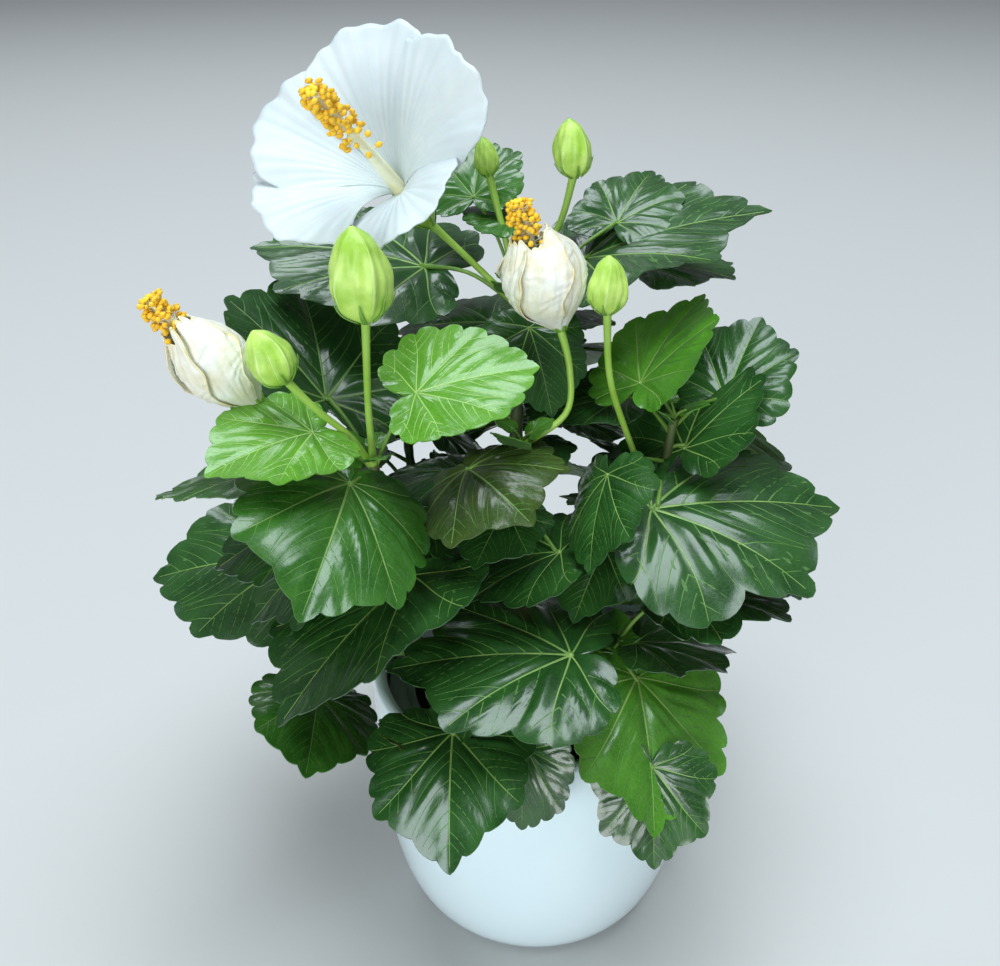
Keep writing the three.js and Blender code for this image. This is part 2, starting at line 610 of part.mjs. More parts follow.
// A spent bloom is a furled, ribbed body with its column standing out of the mouth.
function spentBloom({ length, width }) {
  const profile = [[0, 0.04], [0.36, 0.12], [0.84, 0.3], [1, 0.56], [0.72, 0.86], [0, 1]];
  const body = turned(profile.map(([share, height]) => [share * width, height * length]), 12);
  reshape(body, (point) => {
    const swell = 1 + 0.1 * Math.cos(6 * Math.atan2(point.y, point.x));
    point.set(point.x * swell, point.y * swell, point.z);
  });
  return [body, calyxGeometry(5), ...columnSolids(length + SPENT_COLUMN, 3, length - 8)];
}

// A bud is a ribbed egg.
function budBloom({ length, width }) {
  const profile = [[0, 0], [0.6, 0.08], [1, 0.38], [0.86, 0.68], [0.45, 0.92], [0, 1]];
  const body = turned(profile.map(([share, height]) => [share * width, height * length]), 8);
  reshape(body, (point) => {
    const swell = 1 + 0.05 * Math.cos(4 * Math.atan2(point.y, point.x));
    point.set(point.x * swell, point.y * swell, point.z);
  });
  return [body];
}

const BLOOM_MAKERS = { open: openBloom, spent: spentBloom, bud: budBloom };

function bloomSolid(row) {
  const axis = vec(row.axis).normalize();
  const end = vec(row.points.at(-1));
  const heads = BLOOM_MAKERS[row.kind](row).map((piece) => solid(standAt(piece, end, axis, row.turn ?? 0)));
  const stalk = limb(bloomStalk(row), () => PEDICEL_RADIUS, { sides: 4, steps: 6 });
  return fuse([solid(stalk), ...heads]);
}

function stemPart(name) {
  const row = LIMBS[name];
  const start = row.split + GAP / curves[name].getLength();
  return solid(limb(curves[name], stemRadius, { sides: 6, steps: 5, start }));
}

function boughPart(name, extra) {
  const row = LIMBS[name];
  return solid(limb(curves[name], (share) => boughRadius(share) + extra, { steps: 5, end: row.split }));
}

function buildPlant() {
  addNode("trunk", trunkSolid(0), BARK);
  const clearOf = [trunkSolid(GAP)];
  for (const name of Object.keys(LIMBS)) {
    const bough = clearOf.reduce((part, limbSolid) => part.subtract(limbSolid), boughPart(name, 0));
    addNode(`bough_${name}`, bough, BARK);
    clearOf.push(boughPart(name, GAP));
  }
  const grown = growLeaves();
  for (const [name, shapes] of Object.entries(grown)) {
    const leaves = shapes.map((shape) => leafSolid(shape.leaf));
    const blooms = Object.values(BLOOMS).filter((row) => row.limb === name).map(bloomSolid);
    addNode(`leaves_${name}`, fuse([stemPart(name), ...leaves, ...blooms]), LEAF_GREEN);
  }
}

addNode("pot", potSolid(), POT_WHITE);
addNode("liner", linerSolid(), LINER_GREY);
addNode("soil", soilSolid(), SOIL_BROWN);
buildPlant();

export default group;
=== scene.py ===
import math

import bpy
import numpy as np
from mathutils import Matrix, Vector, noise


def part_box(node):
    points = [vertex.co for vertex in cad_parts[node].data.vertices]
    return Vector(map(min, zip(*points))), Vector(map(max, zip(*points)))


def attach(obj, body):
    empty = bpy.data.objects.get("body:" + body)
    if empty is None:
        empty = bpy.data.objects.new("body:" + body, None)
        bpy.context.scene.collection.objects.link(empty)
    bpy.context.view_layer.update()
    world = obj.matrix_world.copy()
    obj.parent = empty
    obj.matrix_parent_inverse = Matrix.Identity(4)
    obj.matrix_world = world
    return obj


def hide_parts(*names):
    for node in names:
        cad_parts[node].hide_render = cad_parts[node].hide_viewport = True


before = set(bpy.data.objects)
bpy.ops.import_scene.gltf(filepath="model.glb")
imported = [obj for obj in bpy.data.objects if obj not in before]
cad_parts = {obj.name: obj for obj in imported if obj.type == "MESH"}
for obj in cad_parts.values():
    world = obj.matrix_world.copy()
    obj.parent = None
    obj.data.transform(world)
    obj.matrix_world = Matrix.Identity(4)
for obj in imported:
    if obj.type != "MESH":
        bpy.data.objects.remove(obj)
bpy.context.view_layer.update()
MM = 0.001

# Pot, liner and soil.
POT_HEIGHT = 145
POT_RIM_RADIUS = 84
POT_BASE_RADIUS = 54
POT_BULGE = 2.43
POT_WALL = 3.2
POT_FLOOR = 6
RIM_ROLL = 3.4
RIM_WIDTH = 7
LINER_TOP = 131
LINER_INNER_RADIUS = 63
LINER_WALL = 1.6
LINER_FOOT_RADIUS = 50
SOIL_TOP = 126.5
GAP = 0.3
LATHE_SIDES = 160

# Trunk and limbs.
TRUNK_FOOT = (-4, 3, SOIL_TOP + GAP)
TRUNK_TOP = (-11, 3, 172)
TRUNK_RADIUS = 8
TRUNK_TOP_RADIUS = 6
ROOT_FLARE = 6
BOUGH_RADIUS = 4.4
STEM_RADIUS = 3.2
STEM_TOP_RADIUS = 2
LIMBS = {
    "left": {"leaves": 156, "split": 0.42, "fill": 3, "turn": 120, "swing": 60,
             "points": [(-34, -10, 180), (-52, -20, 204), (-59, -27, 228), (-68, -42, 262), (-72, -52, 284)]},
    "front_left": {"leaves": 142, "split": 0.55, "fill": 3, "turn": 170, "swing": 50,
                   "points": [(-34, -16, 160), (-52, -30, 172), (-62, -38, 190)]},
    "front": {"leaves": 146, "split": 0.6, "fill": 2, "turn": -110, "swing": 40,
              "points": [(-16, -26, 158), (-18, -44, 170), (-18, -54, 186)]},
    "front_right": {"leaves": 139, "split": 0.6, "fill": 2, "turn": 20, "swing": 40,
                    "points": [(8, -16, 150), (24, -34, 162), (33, -46, 182)]},
    "right": {"leaves": 158, "split": 0.45, "fill": 4, "turn": 30, "swing": 60,
              "points": [(18, 0, 180), (42, -4, 212), (54, -8, 246), (60, -4, 282)]},
    "middle": {"leaves": 168, "split": 0.5, "fill": 3, "turn": 60, "swing": 80,
               "points": [(-7, -10, 200), (-4, -18, 228), (-8, -24, 262), (-10, -26, 280)]},
    "centre": {"leaves": 171, "split": 0.55, "fill": 4, "turn": 70, "swing": 70,
               "points": [(-14, 14, 220), (-11, 20, 268), (-10, 24, 330)]},
    "back_left": {"leaves": 149, "split": 0.5, "fill": 8, "turn": 150, "swing": 75,
                  "points": [(-44, 18, 184), (-60, 30, 220), (-66, 38, 258)]},
    "back": {"leaves": 152, "split": 0.5, "fill": 9, "turn": 90, "swing": 80,
             "points": [(-8, 34, 186), (-4, 52, 226), (-2, 60, 264)]},
    "back_right": {"leaves": 145, "split": 0.5, "fill": 8, "turn": 35, "swing": 75,
                   "points": [(28, 20, 182), (46, 34, 214), (54, 42, 252)]},
}

# The leaves that show from the front, by limb. Each row: tint, the stalk's place on the limb, the joint
# x, y, z, the blade's heading, dip, roll, length, lobing and arch.
LEAVES = {
    "left": [
        ("mid", 0.94, -80, -66, 283, -94, 6, -28, 68, 0.5, 0.6),
        ("dark", 0.9, -94, -22, 300, 102, -34, 20, 77, 0.6, 0.05),
        ("bright", 0.97, -94, -62, 304, -138, -8, -14, 46, 0.3, 0.05),
        ("bright", 0.98, -53, -48, 315, 6, -18, 24, 50, 0.15, 0.05),
        ("dark", 0.7, -58, -46, 225, -136, 13, 15, 84, 0.5, 0.05),
    ],
    "front_left": [
        ("dark", 0.98, -117, 0, 206, -179, 1, -24, 74, 0.4, 0.45),
        ("mid", 0.75, -104, -52, 163, -84, -8, -20, 50, 0.3, 0.4),
    ],
    "front": [
        ("olive", 0.8, -45, -76, 155, 145, -8, 18, 34, 0.3, 0.3),
        ("dark", 0.9, -40, -80, 164, -92, 8, 10, 62, 0.5, 0.1),
        ("dark", 0.95, -7, -89, 162, -106, 60, 8, 37, 0.4, 0.3),
    ],
    "front_right": [
        ("dark", 0.96, 12, -70, 199, 179, -5, -3, 80, 0.8, 0.4),
        ("fresh", 0.98, 44, -55, 175, -80, 30, -14, 68, 0.7, 0.1),
        ("dark", 0.85, 49, -87, 150, -90, 52, 6, 45, 0.8, 0.3),
        ("dark", 0.92, 55, -42, 211, 18, -3, -23, 66, 0.8, 0.7),
    ],
    "right": [
        ("dark", 0.82, 48, -35, 253, 10, -4, 15, 90, 0.8, 0.6),
        ("dark", 0.9, 65, -8, 269, 66, -36, -24, 58, 0.5, 0.1),
        ("dark", 0.97, 85, 10, 285, 60, -44, 0, 48, 0.6, 0.1),
        ("fresh", 1, 44, 0, 298, 54, -42, -24, 54, 0.6, 0.05),
        ("dark", 0.86, 28, -33, 269, -118, 40, 34, 43, 0.6, 0.6),
        ("dark", 0.95, 42, 25, 280, 149, 6, -3, 58, 0.4, 0.2),
    ],
    "middle": [
        ("dark", 0.8, -36, -24, 265, 145, 10, -1, 48, 0.3, 0.4),
        ("olive", 0.95, -33, -33, 272, -68, -15, 22, 58, 0.5, 0.6),
        ("dark", 0.6, 8, -36, 231, 160, 14, -6, 58, 0.5, 0.3),
    ],
    "centre": [
        ("dark", 0.97, -54, 42, 338, 168, -14, -10, 84, 0.6, 0.3),
        ("dark", 0.95, 21, 54, 338, -4, -27, 8, 86, 0.9, 0.1),
        ("dark", 0.9, 36, 58, 354, 62, -31, 3, 44, 0.6, 0.45),
        ("dark", 0.8, 52, 66, 330, 30, -4, 2, 52, 0.5, 0.2),
        ("mid", 0.98, -31, 44, 370, 84, -36, -14, 38, 0.7, 0.2),
        ("mid", 1, -14, 34, 361, 136, -16, -5, 27, 0.3, 0.25),
        ("dark", 0.88, -6, 6, 322, -62, 48, 4, 40, 0.5, 0.2),
        ("dark", 0.66, -21, 6, 295, -114, 4, 6, 32, 0.4, 0.2),
    ],
}

# Leaf blades, by the source's rule: shares of the length from the joint to the edge at set angles.
OUTLINE_ANGLES = (0, 20, 38, 58, 80, 120, 180)
PLAIN_OUTLINE = (1, 0.9, 0.79, 0.68, 0.59, 0.46, 0.05)
LOBED_OUTLINE = (1, 0.72, 0.87, 0.6, 0.69, 0.44, 0.05)
BLADE_FOLD = 0.1
BLADE_SAG = 0.22
STALK_BOW = 0.12
STALK_STEPS = 3

# Leaves placed by rule.
SEED = 2
TURN_STEP = 137.5
TRIES_PER_LEAF = 24
LARGEST_RULE_LEAF = 82
SMALLEST_RULE_LEAF = 36
CLEARANCE = 2.6
NEAREST_POINTS = 5
ROD_STEP = 4

# Smaller leaves than the solids have, deep in the crown and at the limbs' tips.
INNER_LEAVES = 7  # on each limb
INNER_TRIES = 90
INNER_LENGTHS = (58, 28)
INNER_CLEARANCE = 1.3
INNER_FRONT = -50  # no inner leaf has its joint further forward
YOUNG_LENGTHS = (15, 11, 8)

# Blossom, by its foot on a limb, its stalk's points, the way it opens and its head's size.
BLOOMS = {
    "bloom_open": {"limb": "centre", "hold": 0.965, "points": [(-30, 26, 344), (-50, 24, 364)],
                   "axis": (-0.34, -0.68, 0.65), "kind": "open", "length": 40, "width": 20, "turn": 6},
    "bloom_spent_left": {"limb": "left", "hold": 0.85,
                         "points": [(-88, -52, 279), (-105, -54, 293), (-117, -50, 310)],
                         "axis": (-0.62, -0.07, 0.78), "kind": "spent", "length": 44, "width": 15, "turn": 0},
    "bloom_spent_centre": {"limb": "middle", "hold": 0.99,
                           "points": [(10, -22, 294), (11, -16, 312), (7, -12, 329)],
                           "axis": (-0.33, 0, 0.94), "kind": "spent", "length": 41, "width": 18, "turn": 40},
    "bud_large": {"limb": "left", "hold": 0.985, "points": [(-72, -55, 312), (-70, -60, 351)],
                  "axis": (-0.1, 0, 1), "kind": "bud", "length": 37, "width": 12.5, "turn": 0},
    "bud_left": {"limb": "left", "hold": 0.97, "points": [(-80, -56, 299), (-92, -60, 313), (-103, -62, 326)],
                 "axis": (-0.45, 0, 0.9), "kind": "bud", "length": 24, "width": 9.5, "turn": 20},
    "bud_top": {"limb": "centre", "hold": 0.99, "points": [(-17, 32, 356), (-24, 36, 382)],
                "axis": (-0.18, 0, 0.98), "kind": "bud", "length": 17, "width": 5.5, "turn": 50},
    "bud_top_right": {"limb": "centre", "hold": 0.94, "points": [(1, 28, 347), (9, 30, 366), (14, 30, 383)],
                      "axis": (-0.15, 0, 1), "kind": "bud", "length": 25, "width": 8.7, "turn": 10},
    "bud_right": {"limb": "right", "hold": 0.72, "points": [(40, -6, 272), (29, -13, 306), (26, -15, 337)],
                  "axis": (0, 0, 1), "kind": "bud", "length": 25, "width": 8.7, "turn": 35},
}
PEDICEL_RADIUS = 1.7
PETALS = [  # turn round the bloom, length and half of the width in degrees
    (25, 66, 50),
    (75, 67, 54),
    (137, 65, 52),
    (186, 63, 46),
    (287, 49, 72),
]
PETAL_LEAN = (32, 54)
PETAL_FOOT = 9  # below the throat's depth
PETAL_GRID = (34, 61)
PETAL_THICKNESS = 0.45
SPENT_PETALS = 5
SPENT_GRID = (60, 60)
THROAT_DEPTH = 37
COLUMN_LENGTH = 105
SPENT_COLUMN = 15
COLUMN_TIP_RADIUS = 1.2
THREAD_RADII = (0.24, 0.21, 0.18)
THREAD_REACH = (6.4, 4.6)  # of the lowest and the highest thread from the column
ANTHER_SIZE = (1.5, 1.3, 1.05)
STIGMA_THREAD_RADII = (0.3, 0.28, 0.26, 0.24)
STIGMA_SIZE = (1.3, 1.3, 0.9)
CALYX_LENGTH = 16
SEPALS = 5
BRACTS = 7
SEPAL_THICKNESS = 0.4
BUD_GRID = (44, 100)
BUD_WIND = 0.5  # how far, in radians, a bud's ridges wind to its tip

# Finer detail of the blades, which the solids leave out.
DETAIL = {  # teeth on each side of a blade, rays to each tooth and rings
    "full": (10, 6, 14),
    "inner": (9, 4, 9),
    "young": (6, 4, 5),
}
TOOTH_DEPTH = 0.05
FINE_LOBING = 0.6  # how deep the fine lobes are beside the plain ones
BLADE_THICKNESS = 0.5
PUCKER = 0.03  # height of the blade between its veins, as a share of its length
PUCKER_WIDTH = 0.06
RIPPLE = 0.017  # of the edge, as a share of the length
MAIN_VEINS = (0, 38, -38, 80, -80, 118, -118)
SIDE_VEINS = {  # where side veins leave the main vein at each angle, as shares of its length
    0: (0.15, 0.27, 0.39, 0.5, 0.61, 0.72, 0.82),
    38: (0.26, 0.4, 0.54, 0.68, 0.82),
    80: (0.3, 0.47, 0.64, 0.81),
    118: (0.4, 0.66),
}
INWARD_FROM = 0.5  # side veins towards the midrib leave only beyond this share
SIDE_VEIN_SPLAY = 44
SIDE_VEIN_BEND = 1.3  # degrees back towards the tip at each step
SIDE_VEIN_STEP = 0.025
SIDE_VEIN_GAP = 4  # degrees kept from the next main vein
VEINS_REACH = 0.97  # how near the edge the veins come
PLAIN_LENGTH = 75  # of a leaf whose veins have the widths below
MIDRIB_WIDTH = 0.62
LOW_VEIN_WIDTH = 0.46
LOW_VEINS_FROM = 60
SIDE_VEIN_WIDTH = 0.27
VEIN_TIP_WIDTH = 0.12
UNDER_VEIN_TIP_WIDTH = 0.2
SIDE_VEIN_TIP_WIDTH = 0.08
VEIN_HEIGHT = 0.3
UNDER_VEIN_HEIGHT = 0.7
SIDE_VEIN_HEIGHT = 0.15

# Bark and soil.
BARK_SIDES = {"trunk": 40, "bough": 24}
BARK_DEPTH = {"trunk": 0.5, "bough": 0.3}
SOIL_GRID = (60, 180)
CRUMBS = 900

# Camera and photograph frame.
CAMERA_PLACE = (-0.019, -0.479, 0.512)
CAMERA_DIP = 29
FOCAL_PIXELS = 1163
IMAGE_WIDTH = 1000

# Stage, in metres.
FLOOR_HALF = 9.0
FLOOR_COLOUR = (0.62, 0.62, 0.61, 1)
LIGHTS = {  # place, target, size, power and colour
    "sky": ((0.25, -0.2, 4.0), (0, 0, 0.25), (3.2, 2.6), 175, (0.84, 0.94, 1.0)),
    "sky_back": ((-1.2, 2.6, 2.8), (0, 0, 0.25), (1.6, 0.9), 22, (0.86, 0.94, 1.0)),
    "fill_front": ((-1.2, -3.2, 1.0), (0, 0, 0.15), (2.0, 1.4), 70, (0.94, 0.98, 1.0)),
}
WORLD_COLOUR = (0.85, 0.9, 0.96, 1)
WORLD_STRENGTH = 0.16


# Numbers.

def lerp(low, high, share):
    return (1 - share) * low + share * high


def random_source(seed):
    """The source's seeded numbers from 0 to 1."""
    mask = 0xFFFFFFFF
    state = seed

    def draw():
        nonlocal state
        state = (state + 0x6D2B79F5) & mask
        mixed = ((state ^ (state >> 15)) * (state | 1)) & mask
        mixed ^= (mixed + ((mixed ^ (mixed >> 7)) * (mixed | 61))) & mask
        return ((mixed ^ (mixed >> 14)) & mask) / 4294967296

    return draw


def smooth_through(x, knots, values):
    """A smooth curve through given values."""
    knots = np.asarray(knots, float)
    values = np.asarray(values, float)
    slopes = np.gradient(values, knots)
    i = np.clip(np.searchsorted(knots, x, side="right") - 1, 0, len(knots) - 2)
    span = knots[i + 1] - knots[i]
    t = (x - knots[i]) / span
    start = values[i] * (1 + 2 * t) * (1 - t) ** 2 + slopes[i] * span * t * (1 - t) ** 2
    end = values[i + 1] * t * t * (3 - 2 * t) + slopes[i + 1] * span * t * t * (t - 1)
    return start + end


# Curves.

LENGTH_STEPS = 200


def spline_points(knots, shares, even):
    """Places on the spline through the knots, at shares of its run from knot to knot."""
    padded = np.vstack([2 * knots[0] - knots[1], knots, 2 * knots[-1] - knots[-2]])
    spans = len(knots) - 1
    run = np.clip(shares, 0, 1) * spans
    index = np.minimum(run.astype(int), spans - 1)
    t = (run - index)[:, None]
    p0, p1, p2, p3 = (padded[index + k] for k in range(4))
    if even:
        start, end = (p2 - p0) / 2, (p3 - p1) / 2
    else:
        gaps = (p1 - p0, p2 - p1, p3 - p2)
        d0, d1, d2 = (np.sum(gap ** 2, axis=1)[:, None] ** 0.25 for gap in gaps)
        start = ((p1 - p0) / d0 - (p2 - p0) / (d0 + d1) + (p2 - p1) / d1) * d1
        end = ((p2 - p1) / d1 - (p3 - p1) / (d1 + d2) + (p3 - p2) / d2) * d1
    square = -3 * p1 + 3 * p2 - 2 * start - end
    cube = 2 * p1 - 2 * p2 + start + end
    return p1 + start * t + square * t ** 2 + cube * t ** 3


class Spline:
    """A smooth line through points, followed by its length."""

    def __init__(self, knots, even=False):
        self.knots = np.asarray(knots, float)
        self.even = even
        self.shares = np.linspace(0, 1, LENGTH_STEPS + 1)
        samples = spline_points(self.knots, self.shares, even)
        steps = np.linalg.norm(np.diff(samples, axis=0), axis=1)
        self.lengths = np.concatenate([[0], np.cumsum(steps)])
        self.length = self.lengths[-1]

    def along(self, shares):
        return spline_points(self.knots, np.atleast_1d(np.asarray(shares, float)), self.even)

    def at(self, fractions):
        shares = np.interp(np.atleast_1d(fractions) * self.length, self.lengths, self.shares)
        return spline_points(self.knots, shares, self.even)


# Meshes.

class Shape:
    """Vertices and faces gathered from many small pieces, each face with the number of its finish."""

    def __init__(self):
        self.points = []
        self.faces = []
        self.finishes = []
        self.count = 0

    def add(self, points, face_lists, finish=0):
        points = np.asarray(points, float).reshape(-1, 3)
        for faces in face_lists:
            self.faces.append(np.asarray(faces, int) + self.count)
            self.finishes.append(np.full(len(faces), finish))
        self.points.append(points)
        self.count += len(points)

    def triangles(self):
        return sum(len(faces) * (faces.shape[1] - 2) for faces in self.faces)


def make_piece(name, shape, materials, replaced):
    """One mesh object from a gathered shape, in the CAD's frame."""
    mesh = bpy.data.meshes.new(name)
    points = np.concatenate(shape.points) * MM
    corners = np.concatenate([faces.ravel() for faces in shape.faces])
    sizes = np.concatenate([np.full(len(faces), faces.shape[1]) for faces in shape.faces])
    starts = np.concatenate([[0], np.cumsum(sizes)[:-1]])
    mesh.vertices.add(len(points))
    mesh.vertices.foreach_set("co", points.ravel())
    mesh.loops.add(len(corners))
    mesh.loops.foreach_set("vertex_index", corners)
    mesh.polygons.add(len(sizes))
    mesh.polygons.foreach_set("loop_start", starts)
    mesh.polygons.foreach_set("material_index", np.concatenate(shape.finishes))
    mesh.polygons.foreach_set("use_smooth", np.ones(len(sizes), bool))
    mesh.update(calc_edges=True)
    mesh.validate()
    for material in materials:
        mesh.materials.append(material)
    piece = bpy.data.objects.new(name, mesh)
    bpy.context.scene.collection.objects.link(piece)
    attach(piece, "root")
    if replaced:
        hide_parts(*replaced)
    return piece


def grid_faces(rows, columns, closed):
    """Quads between rows of vertices; a closed grid's last column meets its first."""
    last = columns if closed else columns - 1
    row, column = np.meshgrid(np.arange(rows - 1), np.arange(last), indexing="ij")
    a = row * columns + column
    b = row * columns + (column + 1) % columns
    return np.stack([a, b, b + columns, a + columns], axis=-1).reshape(-1, 4)


def tube(centres, radii, sides):
    """Points and faces of a closed round rod along a row of centres."""
    centres = np.asarray(centres, float)
    tangents = np.gradient(centres, axis=0)
    tangents /= np.linalg.norm(tangents, axis=1)[:, None]
    across = np.cross(tangents[0], (0.37, 0.91, 0.18))
    turns = np.linspace(0, 2 * math.pi, sides, endpoint=False)
    rings = []
    for centre, tangent, radius in zip(centres, tangents, radii):
        across = across - tangent * np.dot(across, tangent)
        across = across / np.linalg.norm(across)
        upright = np.cross(tangent, across)
        spokes = np.outer(np.cos(turns), across) + np.outer(np.sin(turns), upright)
        rings.append(centre + spokes * np.reshape(radius, (-1, 1)))
    points = np.concatenate([*rings, centres[:1], centres[-1:]])
    count = len(centres)
    around = np.arange(sides)
    onward = (around + 1) % sides
    first = np.stack([np.full(sides, count * sides), onward, around], axis=1)
    top = (count - 1) * sides
    last = np.stack([np.full(sides, count * sides + 1), top + around, top + onward], axis=1)
    return points, [grid_faces(count, sides, True), first, last]


def around_axis(radius, turn, height):
    """Places by their radius, their turn round +Z and their height."""
    places = np.broadcast_arrays(radius * np.cos(turn), radius * np.sin(turn), height)
    return np.stack(places, axis=-1)


def turned(profile):
    """Points and faces of a turned piece: the profile's points are radius and height, outside first."""
    profile = np.asarray(profile, float)
    turns = np.linspace(0, 2 * math.pi, LATHE_SIDES, endpoint=False)
    points = around_axis(profile[:, :1], turns, profile[:, 1:])
    return points.reshape(-1, 3), [grid_faces(len(profile), LATHE_SIDES, True)]


def ball(centre, radii, rows=5, columns=7):
    """A small round body."""
    tilt = np.linspace(0.15, math.pi - 0.15, rows)
    turn = np.linspace(0, 2 * math.pi, columns, endpoint=False)
    x = np.outer(np.sin(tilt), np.cos(turn))
    y = np.outer(np.sin(tilt), np.sin(turn))
    z = np.repeat(-np.cos(tilt)[:, None], columns, axis=1)
    points = np.stack([x, y, z], axis=-1).reshape(-1, 3) * np.asarray(radii) + centre
    ends = np.stack([np.asarray(centre) - (0, 0, radii[2]), np.asarray(centre) + (0, 0, radii[2])])
    around = np.arange(columns)
    onward = (around + 1) % columns
    low = np.stack([np.full(columns, rows * columns), onward, around], axis=1)
    top = (rows - 1) * columns
    high = np.stack([np.full(columns, rows * columns + 1), top + around, top + onward], axis=1)
    return np.concatenate([points, ends]), [grid_faces(rows, columns, True), low, high]


# Finishes.

NET_WIDTH = 0.06  # of the fine lines on a blade, as a share of a cell
NET_STRENGTH = 0.55


def finish(name, low, high, patch, roughness, relief, net=None, **sockets):
    """A finish mottled between two colours in patches, with fine relief of a frequency and a strength.

    A net colour draws fine lines of that colour round the relief's cells.
    """
    material = bpy.data.materials.new(name)
    material.use_nodes = True
    nodes, links = material.node_tree.nodes, material.node_tree.links
    shader = nodes["Principled BSDF"]
    place = nodes.new("ShaderNodeTexCoord").outputs["Object"]
    mottle = nodes.new("ShaderNodeTexNoise")
    mottle.inputs["Scale"].default_value = patch
    mottle.inputs["Detail"].default_value = 5
    links.new(place, mottle.inputs["Vector"])
    ramp = nodes.new("ShaderNodeValToRGB")
    ramp.color_ramp.elements[0].position = 0.36
    ramp.color_ramp.elements[0].color = (*low, 1)
    ramp.color_ramp.elements[1].position = 0.64
    ramp.color_ramp.elements[1].color = (*high, 1)
    links.new(mottle.outputs["Fac"], ramp.inputs["Fac"])
    colour = ramp.outputs["Color"]
    polish = nodes.new("ShaderNodeMapRange")
    polish.inputs["To Min"].default_value = roughness * 0.85
    polish.inputs["To Max"].default_value = min(1, roughness * 1.15)
    links.new(mottle.outputs["Fac"], polish.inputs["Value"])
    links.new(polish.outputs["Result"], shader.inputs["Roughness"])
    frequency, strength = relief
    if net:
        grain = nodes.new("ShaderNodeTexVoronoi")
        grain.feature = "DISTANCE_TO_EDGE"
        height = grain.outputs["Distance"]
        line = nodes.new("ShaderNodeMapRange")
        line.inputs["From Max"].default_value = NET_WIDTH
        line.inputs["To Min"].default_value = NET_STRENGTH
        line.inputs["To Max"].default_value = 0
        links.new(height, line.inputs["Value"])
        mix = nodes.new("ShaderNodeMixRGB")
        mix.inputs["Color2"].default_value = (*net, 1)
        links.new(line.outputs["Result"], mix.inputs["Fac"])
        links.new(colour, mix.inputs["Color1"])
        colour = mix.outputs["Color"]
    else:
        grain = nodes.new("ShaderNodeTexNoise")
        grain.inputs["Detail"].default_value = 4
        height = grain.outputs["Fac"]
    links.new(colour, shader.inputs["Base Color"])
    grain.inputs["Scale"].default_value = frequency
    links.new(place, grain.inputs["Vector"])
    bump = nodes.new("ShaderNodeBump")
    bump.inputs["Strength"].default_value = strength
    bump.inputs["Distance"].default_value = 0.3 / frequency
    links.new(height, bump.inputs["Height"])
    links.new(bump.outputs["Normal"], shader.inputs["Normal"])
    for socket, value in sockets.items():
        shader.inputs[socket.replace("_", " ")].default_value = value
    return material


WAXY = {"Specular_IOR_Level": 0.25, "Coat_Weight": 0.75, "Coat_Roughness": 0.2, "Coat_IOR": 1.6}
LEAF_RELIEF = (420, 0.2)
LEAF_COLOURS = {  # between which two colours a tint is mottled, and its fine net
    "dark": ((0.011, 0.056, 0.009), (0.024, 0.1, 0.016), (0.04, 0.13, 0.03)),
    "mid": ((0.022, 0.11, 0.009), (0.042, 0.165, 0.015), (0.07, 0.22, 0.035)),
    "fresh": ((0.05, 0.19, 0.012), (0.08, 0.26, 0.02), (0.12, 0.34, 0.04)),
    "bright": ((0.085, 0.28, 0.014), (0.125, 0.36, 0.022), (0.18, 0.46, 0.06)),
    "olive": ((0.03, 0.068, 0.01), (0.055, 0.095, 0.014), (0.09, 0.15, 0.035)),
}
LEAF_FINISHES = {
    tint: finish(f"leaf_{tint}", low, high, 60, 0.36, LEAF_RELIEF, net, **WAXY)
    for tint, (low, high, net) in LEAF_COLOURS.items()
}
TINTS = list(LEAF_FINISHES)
LEAF_UNDER = finish(
    "leaf_under", (0.05, 0.14, 0.03), (0.075, 0.18, 0.04), 60, 0.55, (300, 0.3), (0.12, 0.26, 0.07)
)
VEIN = finish("vein", (0.17, 0.32, 0.07), (0.27, 0.44, 0.11), 90, 0.45, (900, 0.1))
VEIN_SIDE = finish("vein_side", (0.06, 0.18, 0.03), (0.12, 0.26, 0.05), 90, 0.45, (900, 0.1))
VEIN_BRIGHT = finish("vein_bright", (0.34, 0.58, 0.14), (0.42, 0.66, 0.2), 90, 0.45, (900, 0.1))
STALK = finish("stalk", (0.11, 0.24, 0.03), (0.2, 0.38, 0.06), 70, 0.45, (1500, 0.3))
PEDICEL = finish("pedicel", (0.27, 0.48, 0.05), (0.36, 0.6, 0.1), 70, 0.4, (1500, 0.25))
STEM = finish("stem", (0.06, 0.09, 0.025), (0.1, 0.15, 0.04), 70, 0.55, (1200, 0.4))
BARK = finish("bark", (0.08, 0.05, 0.028), (0.17, 0.115, 0.065), 120, 0.8, (900, 0.8))
PETAL = finish("petal_white", (0.6, 0.68, 0.71), (0.68, 0.75, 0.77), 45, 0.5, (700, 0.2),
               Subsurface_Weight=0.1, Subsurface_Scale=0.002)
PETAL_SPENT = finish("petal_spent", (0.82, 0.78, 0.6), (0.9, 0.91, 0.84), 110, 0.55, (420, 0.5))
PETAL_HEM = finish("petal_hem", (0.87, 0.74, 0.36), (0.9, 0.86, 0.64), 200, 0.55, (900, 0.3))
COLUMN = finish("column", (0.86, 0.82, 0.5), (0.9, 0.88, 0.66), 200, 0.45, (900, 0.2))
ANTHER = finish("anther", (0.95, 0.5, 0.012), (1.0, 0.68, 0.05), 600, 0.6, (3000, 0.5))
STIGMA = finish("stigma", (0.95, 0.68, 0.02), (0.98, 0.78, 0.05), 600, 0.5, (3000, 0.3))
BUD = finish("bud_green", (0.34, 0.6, 0.06), (0.58, 0.82, 0.18), 90, 0.42, (700, 0.3))
BUD_RIB = finish("bud_rib", (0.5, 0.75, 0.2), (0.66, 0.86, 0.34), 120, 0.45, (900, 0.2))
